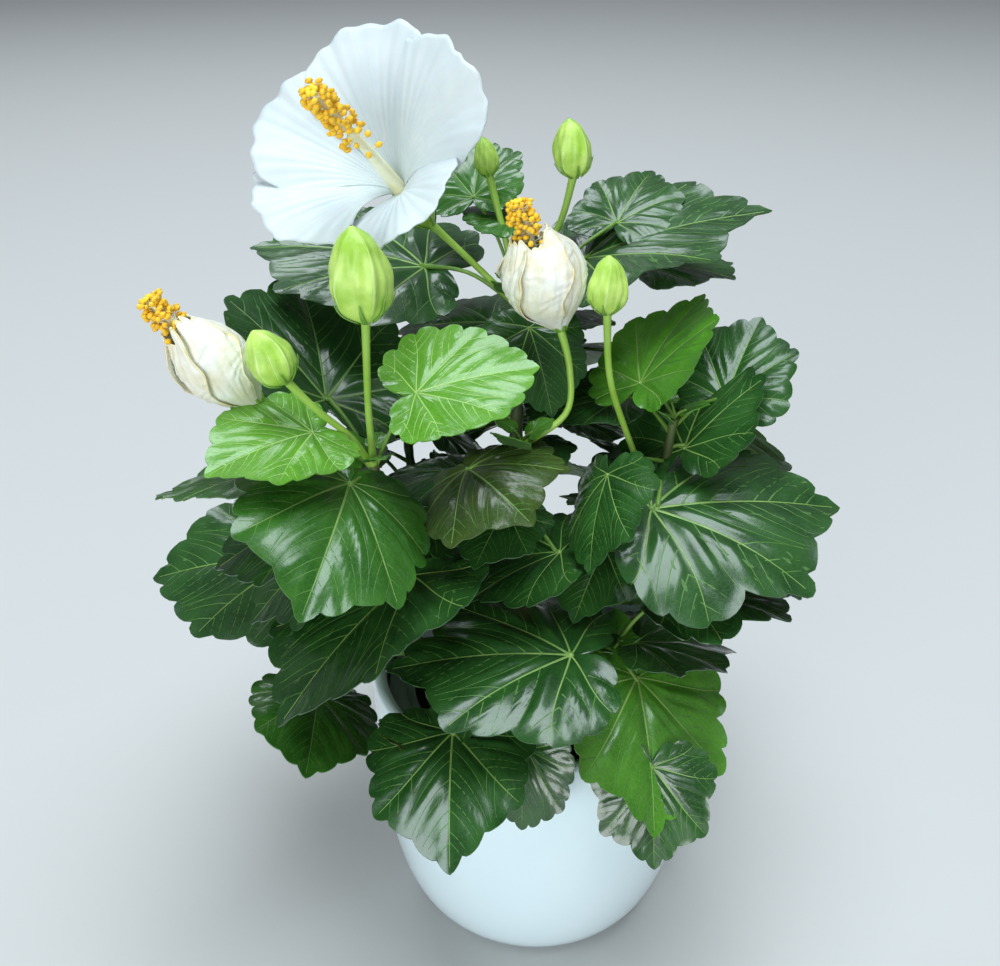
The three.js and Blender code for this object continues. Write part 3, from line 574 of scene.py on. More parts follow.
BRACT = finish("bract", (0.16, 0.36, 0.04), (0.26, 0.5, 0.08), 120, 0.45, (900, 0.2))
# The pot is plain white; the pale cyan cast of these two colours is painted sky light.
SKY_TINTED_POT = finish("pot_glaze_painted_sky_tint", (0.76, 0.92, 0.98), (0.8, 0.94, 0.99), 9, 0.24, (160, 0.03), Coat_Weight=0.4,
             Coat_Roughness=0.12)
LINER = finish("liner_plastic", (0.3, 0.32, 0.37), (0.36, 0.38, 0.43), 30, 0.5, (1500, 0.15))
PEAT = finish("peat", (0.012, 0.009, 0.006), (0.045, 0.03, 0.018), 260, 0.95, (700, 1.0))


# Limbs.

def trunk_curve():
    knots = [
        TRUNK_FOOT,
        (TRUNK_FOOT[0], TRUNK_FOOT[1], TRUNK_FOOT[2] + 12),
        (lerp(TRUNK_FOOT[0], TRUNK_TOP[0], 0.6), 3, lerp(TRUNK_FOOT[2], TRUNK_TOP[2], 0.6)),
        TRUNK_TOP,
    ]
    return Spline(knots)


TRUNK = trunk_curve()


def limb_curve(row):
    share = (row["leaves"] - TRUNK_FOOT[2]) / (TRUNK_TOP[2] - TRUNK_FOOT[2])
    return Spline([TRUNK.at(min(1, max(0, share)))[0], *row["points"]], even=True)


CURVES = {name: limb_curve(row) for name, row in LIMBS.items()}


def bloom_stalk(row):
    axis = np.asarray(row["axis"], float)
    end = np.asarray(row["points"][-1], float) + 3 * axis / np.linalg.norm(axis)
    return Spline([CURVES[row["limb"]].at(row["hold"])[0], *row["points"][:-1], end])


# Leaves: the source's rule.

def blade_axes(heading, dip, roll):
    h, d, r = (math.radians(angle) for angle in (heading, dip, roll))
    midrib = np.array([math.cos(h) * math.cos(d), math.sin(h) * math.cos(d), -math.sin(d)])
    level = np.array([-math.sin(h), math.cos(h), 0])
    raised = np.cross(midrib, level)
    side = level * math.cos(r) + raised * math.sin(r)
    face = raised * math.cos(r) - level * math.sin(r)
    return midrib, side, face


class Leaf:
    """A leaf by its stalk's foot, its joint and its blade's turn and size."""

    def __init__(self, tint, foot, joint, heading, dip, roll, length, lobing, arch):
        self.tint = tint
        self.joint = np.asarray(joint, float)
        self.length = length
        self.lobing = lobing
        self.arch = arch
        self.detail = "full"
        self.midrib, self.side, self.face = blade_axes(heading, dip, roll)
        end = self.joint + self.midrib * 0.03 * length
        middle = (foot + end) / 2
        middle[2] += STALK_BOW * np.linalg.norm(end - foot)
        self.stalk = Spline([foot, middle, end])

    def outline(self, angles):
        plain = np.interp(np.abs(angles), OUTLINE_ANGLES, PLAIN_OUTLINE)
        lobed = np.interp(np.abs(angles), OUTLINE_ANGLES, LOBED_OUTLINE)
        return lerp(plain, lobed, self.lobing)

    def fine_outline(self, angles):
        """The rounder, softer lobed outline of the fine blade."""
        plain = smooth_through(np.abs(angles), OUTLINE_ANGLES, PLAIN_OUTLINE)
        lobed = smooth_through(np.abs(angles), OUTLINE_ANGLES, LOBED_OUTLINE)
        return lerp(plain, lobed, FINE_LOBING * self.lobing)

    def height(self, u, v):
        return BLADE_FOLD * np.abs(v) - self.arch * v * v - BLADE_SAG * u * u

    def place(self, u, v, height, lift=0):
        """The place of a point of the blade, given in shares of the length."""
        u, v, height = (np.asarray(part, float)[..., None] for part in (u, v, height))
        flat = self.midrib * u + self.side * v
        return self.joint + flat * self.length + self.face * (height * self.length + lift)


CORNER_ANGLES = np.array([*OUTLINE_ANGLES, *(-angle for angle in OUTLINE_ANGLES[-2:0:-1])], float)


def corner_ring(leaf, reach, lift):
    edge = reach * leaf.outline(CORNER_ANGLES)
    u = edge * np.cos(np.radians(CORNER_ANGLES))
    v = edge * np.sin(np.radians(CORNER_ANGLES))
    return leaf.place(u, v, leaf.height(u, v), lift)


def blade_faces(leaf, lift):
    """The middle surface of a blade as plain triangles."""
    inner = corner_ring(leaf, 0.5, lift)
    outer = corner_ring(leaf, 1, lift)
    base = np.broadcast_to(leaf.joint + leaf.face * lift, inner.shape)
    next_inner = np.roll(inner, -1, axis=0)
    next_outer = np.roll(outer, -1, axis=0)
    return np.concatenate([
        np.stack([base, inner, next_inner], axis=1),
        np.stack([inner, outer, next_outer], axis=1),
        np.stack([inner, next_outer, next_inner], axis=1),
    ])


def leaf_lines(leaf):
    """The stalk, the ribs from the joint to the edge, and the edge, as short lines."""
    inner = corner_ring(leaf, 0.5, 0)
    outer = corner_ring(leaf, 1, 0)
    stalk = leaf.stalk.along(np.linspace(0, 1, STALK_STEPS + 1))
    joint = np.broadcast_to(leaf.joint, inner.shape)
    return np.concatenate([
        np.stack([stalk[:-1], stalk[1:]], axis=1),
        np.stack([joint, inner], axis=1),
        np.stack([inner, outer], axis=1),
        np.stack([outer, np.roll(outer, -1, axis=0)], axis=1),
    ])


def meets(lines, faces):
    """Whether any line passes through any triangle."""
    start = lines[:, None, 0]
    along = lines[:, None, 1] - start
    a = faces[None, :, 0]
    ab = faces[None, :, 1] - a
    ac = faces[None, :, 2] - a
    p = np.cross(along, ac)
    slope = np.sum(ab * p, axis=-1)
    sound = np.abs(slope) >= 1e-9
    slope = np.where(sound, slope, 1)
    s = start - a
    u = np.sum(s * p, axis=-1) / slope
    q = np.cross(s, np.broadcast_to(ab, s.shape))
    v = np.sum(along * q, axis=-1) / slope
    t = np.sum(ac * q, axis=-1) / slope
    return bool(np.any(sound & (u >= 0) & (u <= 1) & (v >= 0) & (u + v <= 1) & (t >= 0) & (t <= 1)))


def nearer_than(points, others, distance):
    gaps = np.linalg.norm(points[:, None] - others[None], axis=-1)
    return bool(np.any(gaps < distance))


class LeafShape:
    """What the touching test needs of a leaf."""

    def __init__(self, leaf, clearance=CLEARANCE):
        self.leaf = leaf
        self.clearance = clearance
        self.layers = np.concatenate([blade_faces(leaf, lift) for lift in (-clearance, 0, clearance)])
        self.lines = leaf_lines(leaf)
        self.points = np.concatenate([self.lines[:, 1], self.lines.mean(axis=1)])
        self.low = self.points.min(axis=0) - clearance
        self.high = self.points.max(axis=0) + clearance


def apart(one, other):
    return bool(np.any(one.high < other.low) or np.any(other.high < one.low))


def touch(one, other, nearest=NEAREST_POINTS):
    if apart(one, other):
        return False
    near = nearer_than(one.points, other.points, nearest)
    return near or meets(one.lines, other.layers) or meets(other.lines, one.layers)


class Rod:
    """A limb, stalk or head as a row of balls and the line through them."""

    def __init__(self, curve, radius, start, name=""):
        count = math.ceil(curve.length * (1 - start) / ROD_STEP)
        self.name = name
        self.balls = curve.at(np.linspace(start, 1, count + 1))
        self.radius = radius
        self.lines = np.stack([self.balls[:-1], self.balls[1:]], axis=1)
        self.low = self.balls.min(axis=0) - radius
        self.high = self.balls.max(axis=0) + radius


def touches_rod(shape, rod):
    if apart(shape, rod):
        return False
    near = rod.radius + shape.clearance
    return nearer_than(shape.points, rod.balls, near) or meets(rod.lines, shape.layers)


def pot_radius(height):
    share = 1 - np.clip(np.asarray(height, float) / POT_HEIGHT, 0, 1)
    return POT_BASE_RADIUS + (POT_RIM_RADIUS - POT_BASE_RADIUS) * (1 - share ** POT_BULGE) ** (1 / POT_BULGE)


def hits_pot(leaf):
    ring = corner_ring(leaf, 1, 0)
    reach = np.hypot(ring[:, 0], ring[:, 1])
    low = ring[:, 2] < POT_HEIGHT + CLEARANCE
    return bool(np.any(low & (reach < pot_radius(ring[:, 2]) + CLEARANCE)))


random = random_source(SEED)


def between(low, high):
    return lerp(low, high, random())


def rule_leaf(row, curve, attempt):
    """One rule leaf: it stands off the stem within the limb's swing to either side of its turn."""
    share = attempt / (row["fill"] * TRIES_PER_LEAF)
    length = lerp(LARGEST_RULE_LEAF, SMALLEST_RULE_LEAF, share) * between(0.9, 1)
    foot = curve.at(lerp(row["split"] + 0.08, 0.98, random()))[0]
    spread = ((attempt * TURN_STEP) % 360) / 180 - 1
    turn = row["turn"] + row["swing"] * spread + between(-12, 12)
    stalk = between(0.35, 0.6) * length
    rise = math.radians(between(5, 50))
    flat = math.radians(turn)
    aim = np.array([math.cos(rise) * math.cos(flat), math.cos(rise) * math.sin(flat), math.sin(rise)])
    heading = turn + between(-20, 20)
    dip = between(0, 42)
    roll = between(-16, 16)
    lobing = between(0.3, 0.9)
    tint = "mid" if attempt % 3 == 0 else "dark"
    return Leaf(tint, foot, foot + stalk * aim, heading, dip, roll, length, lobing, between(0.15, 0.45))


def rods_to_clear():
    limbs = [Rod(curve, BOUGH_RADIUS, 0, name) for name, curve in CURVES.items()]
    stalks = [Rod(bloom_stalk(row), PEDICEL_RADIUS, 0.1) for row in BLOOMS.values()]
    heads = []
    for row in BLOOMS.values():
        foot = np.asarray(row["points"][-1], float)
        axis = np.asarray(row["axis"], float)
        top = foot + row["length"] * axis / np.linalg.norm(axis)
        heads.append(Rod(Spline([foot, top], even=True), row["width"], 0))
    return [*limbs, *stalks, *heads]


def grow_leaves():
    """Every leaf of every limb: those that show, then those by rule that touch nothing."""
    grown = {name: [] for name in LIMBS}
    for name, rows in LEAVES.items():
        for tint, hold, x, y, z, *rest in rows:
            grown[name].append(LeafShape(Leaf(tint, CURVES[name].at(hold)[0], (x, y, z), *rest)))
    rods = rods_to_clear()
    for name, row in LIMBS.items():
        others = [rod for rod in rods if rod.name != name]
        wanted = len(grown[name]) + row["fill"]
        for attempt in range(row["fill"] * TRIES_PER_LEAF):
            if len(grown[name]) == wanted:
                break
            shape = LeafShape(rule_leaf(row, CURVES[name], attempt))
            present = [other for shapes in grown.values() for other in shapes]
            free = not (
                hits_pot(shape.leaf)
                or any(touches_rod(shape, rod) for rod in others)
                or any(touch(shape, other) for other in present)
            )
            if free:
                grown[name].append(shape)
    grow_inner_leaves(grown, rods)
    leaves = {name: [shape.leaf for shape in shapes] for name, shapes in grown.items()}
    for name in LIMBS:
        leaves[name] += young_leaves(name)
    return leaves


def inner_leaf(row, curve, attempt):
    """A small leaf deep in the crown, close to its bough."""
    length = lerp(*INNER_LENGTHS, attempt / INNER_TRIES) * between(0.85, 1)
    foot = curve.at(between(0.6 * row["split"], 0.95))[0]
    turn = attempt * TURN_STEP + between(-15, 15)
    rise = math.radians(between(0, 45))
    flat = math.radians(turn)
    aim = np.array([math.cos(rise) * math.cos(flat), math.cos(rise) * math.sin(flat), math.sin(rise)])
    joint = foot + between(0.3, 0.6) * length * aim
    tint = "mid" if attempt % 4 == 0 else "dark"
    angles = (turn + between(-25, 25), between(-20, 45), between(-20, 20))
    leaf = Leaf(tint, foot, joint, *angles, length, between(0.3, 0.9), between(0.15, 0.45))
    leaf.detail = "inner"
    return leaf


def grow_inner_leaves(grown, rods):
    """Fills each mass's own space with small leaves that touch nothing."""
    for name, row in LIMBS.items():
        low, high = (np.array(corner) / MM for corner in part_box(f"leaves_{name}"))
        others = [rod for rod in rods if rod.name != name]
        wanted = len(grown[name]) + INNER_LEAVES
        for attempt in range(INNER_TRIES):
            if len(grown[name]) == wanted:
                break
            shape = LeafShape(inner_leaf(row, CURVES[name], attempt), INNER_CLEARANCE)
            if np.any(shape.low < low) or np.any(shape.high > high) or hits_pot(shape.leaf):
                continue
            if shape.leaf.joint[1] < INNER_FRONT:
                continue
            present = [other for shapes in grown.values() for other in shapes]
            if any(touches_rod(shape, rod) for rod in others):
                continue
            if not any(touch(shape, other, 2 * INNER_CLEARANCE) for other in present):
                grown[name].append(shape)


def young_leaves(name):
    """The small unfolding leaves at a limb's tip."""
    tip = CURVES[name].at(1)[0]
    leaves = []
    for number, length in enumerate(YOUNG_LENGTHS):
        turn = number * TURN_STEP + len(name) * 40
        aim = np.array([math.cos(math.radians(turn)), math.sin(math.radians(turn)), 0])
        joint = tip + aim * (2.5 + 0.25 * length) + (0, 0, 3 + 2.2 * number)
        leaf = Leaf("fresh", tip + (0, 0, number), joint, turn, -50 + 12 * number, 0, length, 0.5, 0.05)
        leaf.detail = "young"
        leaves.append(leaf)
    return leaves


# Blades in full detail.

def margin(leaf, teeth, rays_per_tooth, chance):
    """Angles of the rays to the toothed edge, evenly spaced along it, and each ray's length."""
    fine = np.linspace(0, 180, 361)
    plain = leaf.fine_outline(fine)
    u, v = plain * np.cos(np.radians(fine)), plain * np.sin(np.radians(fine))
    run = np.concatenate([[0], np.cumsum(np.hypot(np.diff(u), np.diff(v)))])
    run /= run[-1]
    shares = np.linspace(0, 1, teeth * rays_per_tooth + 1)
    half = np.interp(shares, run, fine)
    crest = np.abs(np.sin(math.pi * (shares * teeth + 0.5))) ** 0.6
    fade = np.clip((1 - shares) / 0.12, 0, 1)
    number = np.floor(shares * teeth + 0.5).astype(int)
    angles = np.concatenate([-half[-2:0:-1], half])
    sides = []
    for _ in range(2):
        size = chance.uniform(0.6, 1.25, teeth + 1)[number]
        sides.append(TOOTH_DEPTH * size * (crest - 0.62) * fade)
    teeth_out = np.concatenate([sides[0][-2:0:-1], sides[1]])
    return angles, leaf.fine_outline(angles) + teeth_out


def march(leaf, start, heading, bend, others):
    """A side vein from a main one: it bends towards the tip and ends near the edge or another main vein."""
    point = np.array(start, float)
    line = [point.copy()]
    for _ in range(26):
        turn = math.radians(heading)
        point = point + SIDE_VEIN_STEP * np.array([math.cos(turn), math.sin(turn)])
        angle = math.degrees(math.atan2(point[1], point[0]))
        edge = leaf.fine_outline(np.array([angle]))[0]
        gap = min(abs(angle - other) for other in others)
        if math.hypot(*point) > VEINS_REACH * edge or gap < SIDE_VEIN_GAP:
            break
        line.append(point.copy())
        heading += bend
    return np.array(line)


def main_veins(leaf):
    """The veins from the joint to the edge as rows of points, in shares of the length."""
    steps = np.linspace(0, VEINS_REACH, 13)
    lines = []
    for angle in MAIN_VEINS:
        turns = np.radians(angle * (1 - 0.05 * np.sin(math.pi * steps)))
        edge = leaf.fine_outline(np.degrees(turns))
        lines.append(np.stack([steps * edge * np.cos(turns), steps * edge * np.sin(turns)], axis=1))
    return lines


def side_veins(leaf):
    """The veins that leave the main ones on both sides, outward and, further on, inward."""
    lines = []
    for angle in MAIN_VEINS:
        edge = leaf.fine_outline(np.array([angle]))[0]
        others = [other for other in MAIN_VEINS if other != angle]
        for number, share in enumerate(SIDE_VEINS[abs(angle)]):
            for side in (1, -1):
                if side * angle < 0 and share < INWARD_FROM:
                    continue
                shift = 0.03 * side * (number % 2)
                reach = (share + shift) * edge
                start = (reach * math.cos(math.radians(angle)), reach * math.sin(math.radians(angle)))
                line = march(leaf, start, angle + side * SIDE_VEIN_SPLAY, -side * SIDE_VEIN_BEND, others)
                if len(line) > 3:
                    lines.append(line)
    return lines


def distance_to(lines, u, v):
    """How far each point of a blade is from the nearest of the lines."""
    starts = np.concatenate([line[:-1] for line in lines])
    ends = np.concatenate([line[1:] for line in lines])
    points = np.stack([u.ravel(), v.ravel()], axis=1)
    along = ends - starts
    size = np.sum(along * along, axis=1)
    offset = points[:, None] - starts[None]
    share = np.clip(np.sum(offset * along[None], axis=-1) / size, 0, 1)
    gap = np.linalg.norm(offset - share[..., None] * along[None], axis=-1)
    return gap.min(axis=1).reshape(u.shape)


class Blade:
    """A blade's surface as rings of points from the joint to the toothed edge."""

    def __init__(self, leaf, teeth, rays_per_tooth, rings, chance):
        self.leaf = leaf
        self.angles, self.edge = margin(leaf, teeth, rays_per_tooth, chance)
        self.rings = rings
        reach = np.linspace(0, 1, rings + 1)[:, None]
        u = reach * self.edge * np.cos(np.radians(self.angles))
        v = reach * self.edge * np.sin(np.radians(self.angles))
        self.mains = main_veins(leaf)
        self.sides = side_veins(leaf)
        groove = np.exp(-(distance_to(self.mains, u, v) / PUCKER_WIDTH) ** 2)
        small = np.exp(-(distance_to(self.sides, u, v) / (PUCKER_WIDTH * 0.6)) ** 2)
        relief = PUCKER * (1 - np.maximum(groove, 0.8 * small))
        phase = chance.uniform(0, 2 * math.pi, 2)
        turns = np.radians(self.angles)
        wave = np.sin(5 * turns + phase[0]) + 0.6 * np.sin(9 * turns + phase[1])
        ripple = RIPPLE * wave * reach ** 3
        self.points = leaf.place(u, v, leaf.height(u, v) + (relief + ripple) * np.minimum(1, reach * 3))

    def at(self, u, v):
        """The place on the meshed surface of points given in shares of the length."""
        turn = np.degrees(np.arctan2(v, u))
        ray = np.interp(turn, self.angles, np.arange(len(self.angles)))
        ring = np.clip(np.hypot(u, v) / np.interp(turn, self.angles, self.edge), 0, 1) * self.rings
        low_ray = np.minimum(ray.astype(int), len(self.angles) - 2)
        low_ring = np.minimum(ring.astype(int), self.rings - 1)
        a, b = (ray - low_ray)[:, None], (ring - low_ring)[:, None]
        near = lerp(self.points[low_ring, low_ray], self.points[low_ring, low_ray + 1], a)
        far = lerp(self.points[low_ring + 1, low_ray], self.points[low_ring + 1, low_ray + 1], a)
        return lerp(near, far, b)


def add_side(shape, rings, centre, lower, number):
    """One side of a blade: its rings of points and the faces round its joint."""
    count, rays = rings.shape[:2]
    points = np.concatenate([rings.reshape(-1, 3), centre])
    around = np.arange(rays)
    onward = np.roll(around, -1)
    first, second = (onward, around) if lower else (around, onward)
    fan = np.stack([np.full(rays, count * rays), first, second], axis=1)
    faces = grid_faces(count, rays, True)
    shape.add(points, [faces if lower else faces[:, ::-1], fan], number)


def add_blade(shape, blade, tint):
    """The blade's upper side, its paler lower side and the rim between them."""
    top = blade.points[1:]
    joint = blade.points[0, :1]
    kept = np.union1d(np.arange(1, blade.rings + 1, 2), [blade.rings])
    drop = blade.leaf.face * BLADE_THICKNESS
    under = blade.points[kept] - drop
    add_side(shape, top, joint, False, tint)
    add_side(shape, under, joint - drop, True, len(TINTS))
    rim = np.concatenate([top[-1], under[-1]])
    shape.add(rim, [grid_faces(2, len(blade.angles), True)[:, ::-1]], tint)


def add_vein(shape, blade, line, wide, narrow, lift, under, number):
    """A raised strip along a vein, over or under the blade."""
    along = np.gradient(line, axis=0)
    along /= np.linalg.norm(along, axis=1)[:, None]
    left = np.stack([-along[:, 1], along[:, 0]], axis=1)
    half = np.linspace(wide, narrow, len(line))[:, None] / blade.leaf.length
    face = blade.leaf.face * (-1 if under else 1)
    base = -blade.leaf.face * BLADE_THICKNESS if under else 0
    rows = []
    for shift, rise in ((-1, 0.05), (0, lift), (1, 0.05)):
        place = line + left * half * shift
        rows.append(blade.at(place[:, 0], place[:, 1]) + base + face * rise)
    faces = grid_faces(3, len(line), False)
    shape.add(np.concatenate(rows), [faces[:, ::-1] if under else faces], number)


def add_leaf(blades, veins, stalks, leaf, number):
    chance = np.random.default_rng(number)
    blade = Blade(leaf, *DETAIL[leaf.detail], chance)
    add_blade(blades, blade, TINTS.index(leaf.tint))
    size = leaf.length / PLAIN_LENGTH
    main, side = (2, 2) if leaf.tint == "bright" else (0, 1)
    for angle, line in zip(MAIN_VEINS, blade.mains):
        width = (MIDRIB_WIDTH if abs(angle) < LOW_VEINS_FROM else LOW_VEIN_WIDTH) * size
        add_vein(veins, blade, line, width, VEIN_TIP_WIDTH * size, VEIN_HEIGHT * size, False, main)
        if leaf.detail != "young":
            tip, height = UNDER_VEIN_TIP_WIDTH * size, UNDER_VEIN_HEIGHT * size
            add_vein(veins, blade, line, 1.3 * width, tip, height, True, main)
    for line in blade.sides:
        width, height = SIDE_VEIN_WIDTH * size, SIDE_VEIN_HEIGHT * size
        add_vein(veins, blade, line, width, SIDE_VEIN_TIP_WIDTH * size, height, False, side)
    knob = leaf.joint + leaf.face * 0.1
    veins.add(*ball(knob, np.array((1.5, 1.5, 1.1)) * size), main)
    steps = np.linspace(0, 1, 14)
    radii = (0.95 + 0.5 * steps ** 8 + 0.5 * (1 - steps) ** 6) * (0.65 + 0.35 * size)
    radii[-1] *= 0.55
    stalks.add(*tube(leaf.stalk.at(steps), radii, 8), 0)


def dress_limb(name, leaves, first):
    """A limb's stem, leaf stalks, blades and veins."""
    row = LIMBS[name]
    blades, veins, stalks = Shape(), Shape(), Shape()
    for number, leaf in enumerate(leaves):
        add_leaf(blades, veins, stalks, leaf, first + number)
    curve = CURVES[name]
    steps = np.linspace(row["split"], 1, 40)
    share = (steps - row["split"]) / (1 - row["split"])
    radii = lerp(STEM_RADIUS, STEM_TOP_RADIUS, share) * (1 + 0.08 * np.sin(share * 40))
    stalks.add(*tube(curve.at(steps), radii, 12), 1)
    finishes = [*LEAF_FINISHES.values(), LEAF_UNDER]
    make_piece(f"leaf_blades_{name}", blades, finishes, [f"leaves_{name}"])
    make_piece(f"leaf_veins_{name}", veins, [VEIN, VEIN_SIDE, VEIN_BRIGHT], [])
    make_piece(f"stalks_{name}", stalks, [STALK, STEM], [])
    return blades.triangles() + veins.triangles() + stalks.triangles()


# Bark.

def rough_radii(centres, radii, sides, depth):
    """Radii by ring and side, with the lengthwise ridges and small knots of bark."""
    rows = []
    for centre, radius in zip(centres, radii):
        row = []
        for side in range(sides):
            turn = 2 * math.pi * side / sides
            x, y = math.cos(turn), math.sin(turn)
            ridge = noise.noise(Vector((3 * x, 3 * y, centre[2] * 0.06)))
            knot = noise.noise(Vector((centre[0] * 0.4 + 2 * x, centre[1] * 0.4 + 2 * y, centre[2] * 0.5)))
            row.append(radius + depth * (ridge + 0.7 * knot))
        rows.append(row)
    return np.array(rows)


def dress_bark():
    shape = Shape()
    steps = np.linspace(0, 1, 60)
    radii = lerp(TRUNK_RADIUS, TRUNK_TOP_RADIUS, steps) + ROOT_FLARE * np.exp(-steps * 9)
    centres = TRUNK.at(steps)
    sides = BARK_SIDES["trunk"]
    shape.add(*tube(centres, rough_radii(centres, radii, sides, BARK_DEPTH["trunk"]), sides))
    sides = BARK_SIDES["bough"]
    for name, row in LIMBS.items():
        steps = np.linspace(0, row["split"], 50)
        centres = CURVES[name].at(steps)
        radii = lerp(BOUGH_RADIUS, STEM_RADIUS, steps / row["split"])
        shape.add(*tube(centres, rough_radii(centres, radii, sides, BARK_DEPTH["bough"]), sides))
    nodes = ["trunk", *(f"bough_{name}" for name in LIMBS)]
    make_piece("bark", shape, [BARK], nodes)
    return shape.triangles()


# Blossom.

def stand(points, row):
    """Turns a piece built along +Z so that it stands at a bloom's foot and opens along its axis."""
    axis = Vector(row["axis"]).normalized()
    spin = np.array(Vector((0, 0, 1)).rotation_difference(axis).to_matrix())
    turn = math.radians(row["turn"])
    flat = np.array([[math.cos(turn), -math.sin(turn), 0], [math.sin(turn), math.cos(turn), 0], [0, 0, 1]])
    return np.asarray(points) @ (spin @ flat).T + np.asarray(row["points"][-1], float)


def add_sheet(shape, rows, thickness, number):
    """A thin closed sheet from rows of points; its under side is a thickness lower."""
    count, columns = rows.shape[:2]
    across = np.gradient(rows, axis=1)
    onward = np.gradient(rows, axis=0)
    normal = np.cross(across, onward)
    normal /= np.maximum(np.linalg.norm(normal, axis=-1, keepdims=True), 1e-9)
    under = rows - normal * thickness
    points = np.concatenate([rows.reshape(-1, 3), under.reshape(-1, 3)])
    faces = grid_faces(count, columns, False)
    size = count * columns
    index = np.arange(size).reshape(count, columns)
    loop = np.concatenate([index[0], index[1:, -1], index[-1, -2::-1], index[-2:0:-1, 0]])
    onwards = np.roll(loop, -1)
    rim = np.stack([loop, loop + size, onwards + size, onwards], axis=1)
    shape.add(points, [faces, faces[:, ::-1] + size, rim], number)


def add_petals(shape, row):
    """Five broad petals, each turned a little over the next, with frilled edges and fine ribs."""
    along = np.linspace(0.05, 1, PETAL_GRID[0])[:, None]
    across = np.linspace(-1, 1, PETAL_GRID[1])[None, :]
    lean = np.radians(lerp(*PETAL_LEAN, along))
    for number, (turn, size, half) in enumerate(PETALS):
        phase = np.random.default_rng(100 + number).uniform(0, 2 * math.pi, 4)
        spread = half * across * lerp(0.45, 1, along ** 0.6)
        shorter = 1 - 0.42 * np.abs(across) ** 3
        frill = 0.014 * np.sin(across * 13 + phase[0]) + 0.009 * np.sin(across * 27 + phase[1])
        length = size * along * (1 - (1 - shorter) * along + frill * along ** 3)
        twist = 2.6 * along * across
        swell = 2.2 * np.sin(across * 4 + phase[2]) + 1.3 * np.sin(across * 9 + along * 3 + phase[3])
        rib = (0.3 * np.sin(across * 44 + 2 * along) + 0.12 * np.sin(across * 97)) * np.sqrt(along)
        lift = twist + along ** 2 * swell + rib
        outward = length * np.sin(lean) - along * lift * np.cos(lean)
        upward = THROAT_DEPTH - PETAL_FOOT + length * np.cos(lean) + lift * np.sin(lean)
        rows = around_axis(outward, np.radians(turn + spread), upward)
        add_sheet(shape, stand(rows, row), PETAL_THICKNESS, 0)


def add_stamens(shape, row, foot, length, count, column_radius, bare):
    """The column with its anthers on short threads, and five round stigmas at its end."""
    steps = np.linspace(0, 1, 24)
    centres = np.stack([0.8 * np.sin(steps * 3), 0.5 * np.sin(steps * 5), lerp(foot, length, steps)], axis=1)
    radii = lerp(column_radius, COLUMN_TIP_RADIUS, steps ** 0.6)
    points, faces = tube(centres, radii, 12)
    shape.add(stand(points, row), faces, 0)
    chance = np.random.default_rng(count)
    for number in range(count):
        share = number / (count - 1)
        height = lerp(lerp(foot, length, bare), length - 0.5, share ** 0.5)
        turn = math.radians(number * TURN_STEP + chance.uniform(-20, 20))
        reach = lerp(*THREAD_REACH, share) * chance.uniform(0.6, 1.15)
        start = np.array([math.cos(turn), math.sin(turn), 0]) * 0.8 + (0, 0, height)
        end = np.array([math.cos(turn) * reach, math.sin(turn) * reach, height + chance.uniform(0.5, 3)])
        points, faces = tube(np.linspace(start, end, len(THREAD_RADII)), THREAD_RADII, 5)
        shape.add(stand(points, row), faces, 0)
        points, faces = ball(end, np.array(ANTHER_SIZE) * chance.uniform(0.8, 1.25, 3), 4, 6)
        shape.add(stand(points, row), faces, 1)
    for number in range(SEPALS):
        turn = math.radians(360 / SEPALS * number)
        end = np.array([1.5 * math.cos(turn), 1.5 * math.sin(turn), length + 1.8])
        centres = np.linspace((0, 0, length - 1), end, len(STIGMA_THREAD_RADII))
        points, faces = tube(centres, STIGMA_THREAD_RADII, 6)
        shape.add(stand(points, row), faces, 0)
        points, faces = ball(end, STIGMA_SIZE, 5, 8)
        shape.add(stand(points, row), faces, 2)


def add_bract(shape, row, turn, half, radius, heights, number):
    """One narrow bract by its half width at the foot and its radii and heights from foot to tip."""
    along = np.linspace(0, 1, len(heights))[:, None]
    side = np.linspace(-1, 1, 3)[None, :] * half * (1 - along ** 2)
    x = radius * math.cos(turn) - side * math.sin(turn)
    y = radius * math.sin(turn) + side * math.cos(turn)
    rows = np.stack(np.broadcast_arrays(x, y, heights), axis=-1)
    add_sheet(shape, stand(rows, row), SEPAL_THICKNESS, number)


def add_calyx(shape, row, width, length):
    """A cup of five pointed lobes and a ring of narrow bracts below it."""
    along = np.linspace(0, 1, 14)[:, None]
    across = np.linspace(-1, 1, 9)[None, :]
    narrow = np.where(along < 0.5, 1, 1 - ((along - 0.5) / 0.5) ** 1.4)
    radius = 2 + (width - 2) * np.sin(np.minimum(1, along * 1.4) * math.pi / 2) + 0.3 * (1 - across ** 2)
    for lobe in range(SEPALS):
        turn = np.radians(72 * lobe + 36 * across * np.maximum(narrow, 0.03))
        rows = around_axis(radius, turn, -1 + length * along)
        add_sheet(shape, stand(rows, row), SEPAL_THICKNESS, 0)
    along = np.linspace(0, 1, 8)[:, None]
    radius = 2.2 + (width + 0.6 - 2.2) * np.sin(along * math.pi / 2)
    for bract in range(BRACTS):
        turn = math.radians(360 / BRACTS * bract)
        add_bract(shape, row, turn, 0.9, radius, -1.5 + 0.62 * length * along, 1)


def bud_radius(share, turn, width):
    """A bud's radius: five lobes whose edges stand up as ridges that wind a little to the tip."""
    profile = smooth_through(share, (0, 0.08, 0.34, 0.66, 0.9, 1), (0.3, 0.62, 0.96, 0.8, 0.42, 0.05))
    wound = 2.5 * (turn - BUD_WIND * share)
    edge = np.abs(np.cos(wound)) ** 8 * 0.13
    vein = 0.02 * np.sin(13 * turn - 9 * share) + 0.025 * np.sin(7 * turn + 11 * share)
    return width * profile * (0.93 + (edge + vein) * np.sin(share * math.pi) ** 0.5)


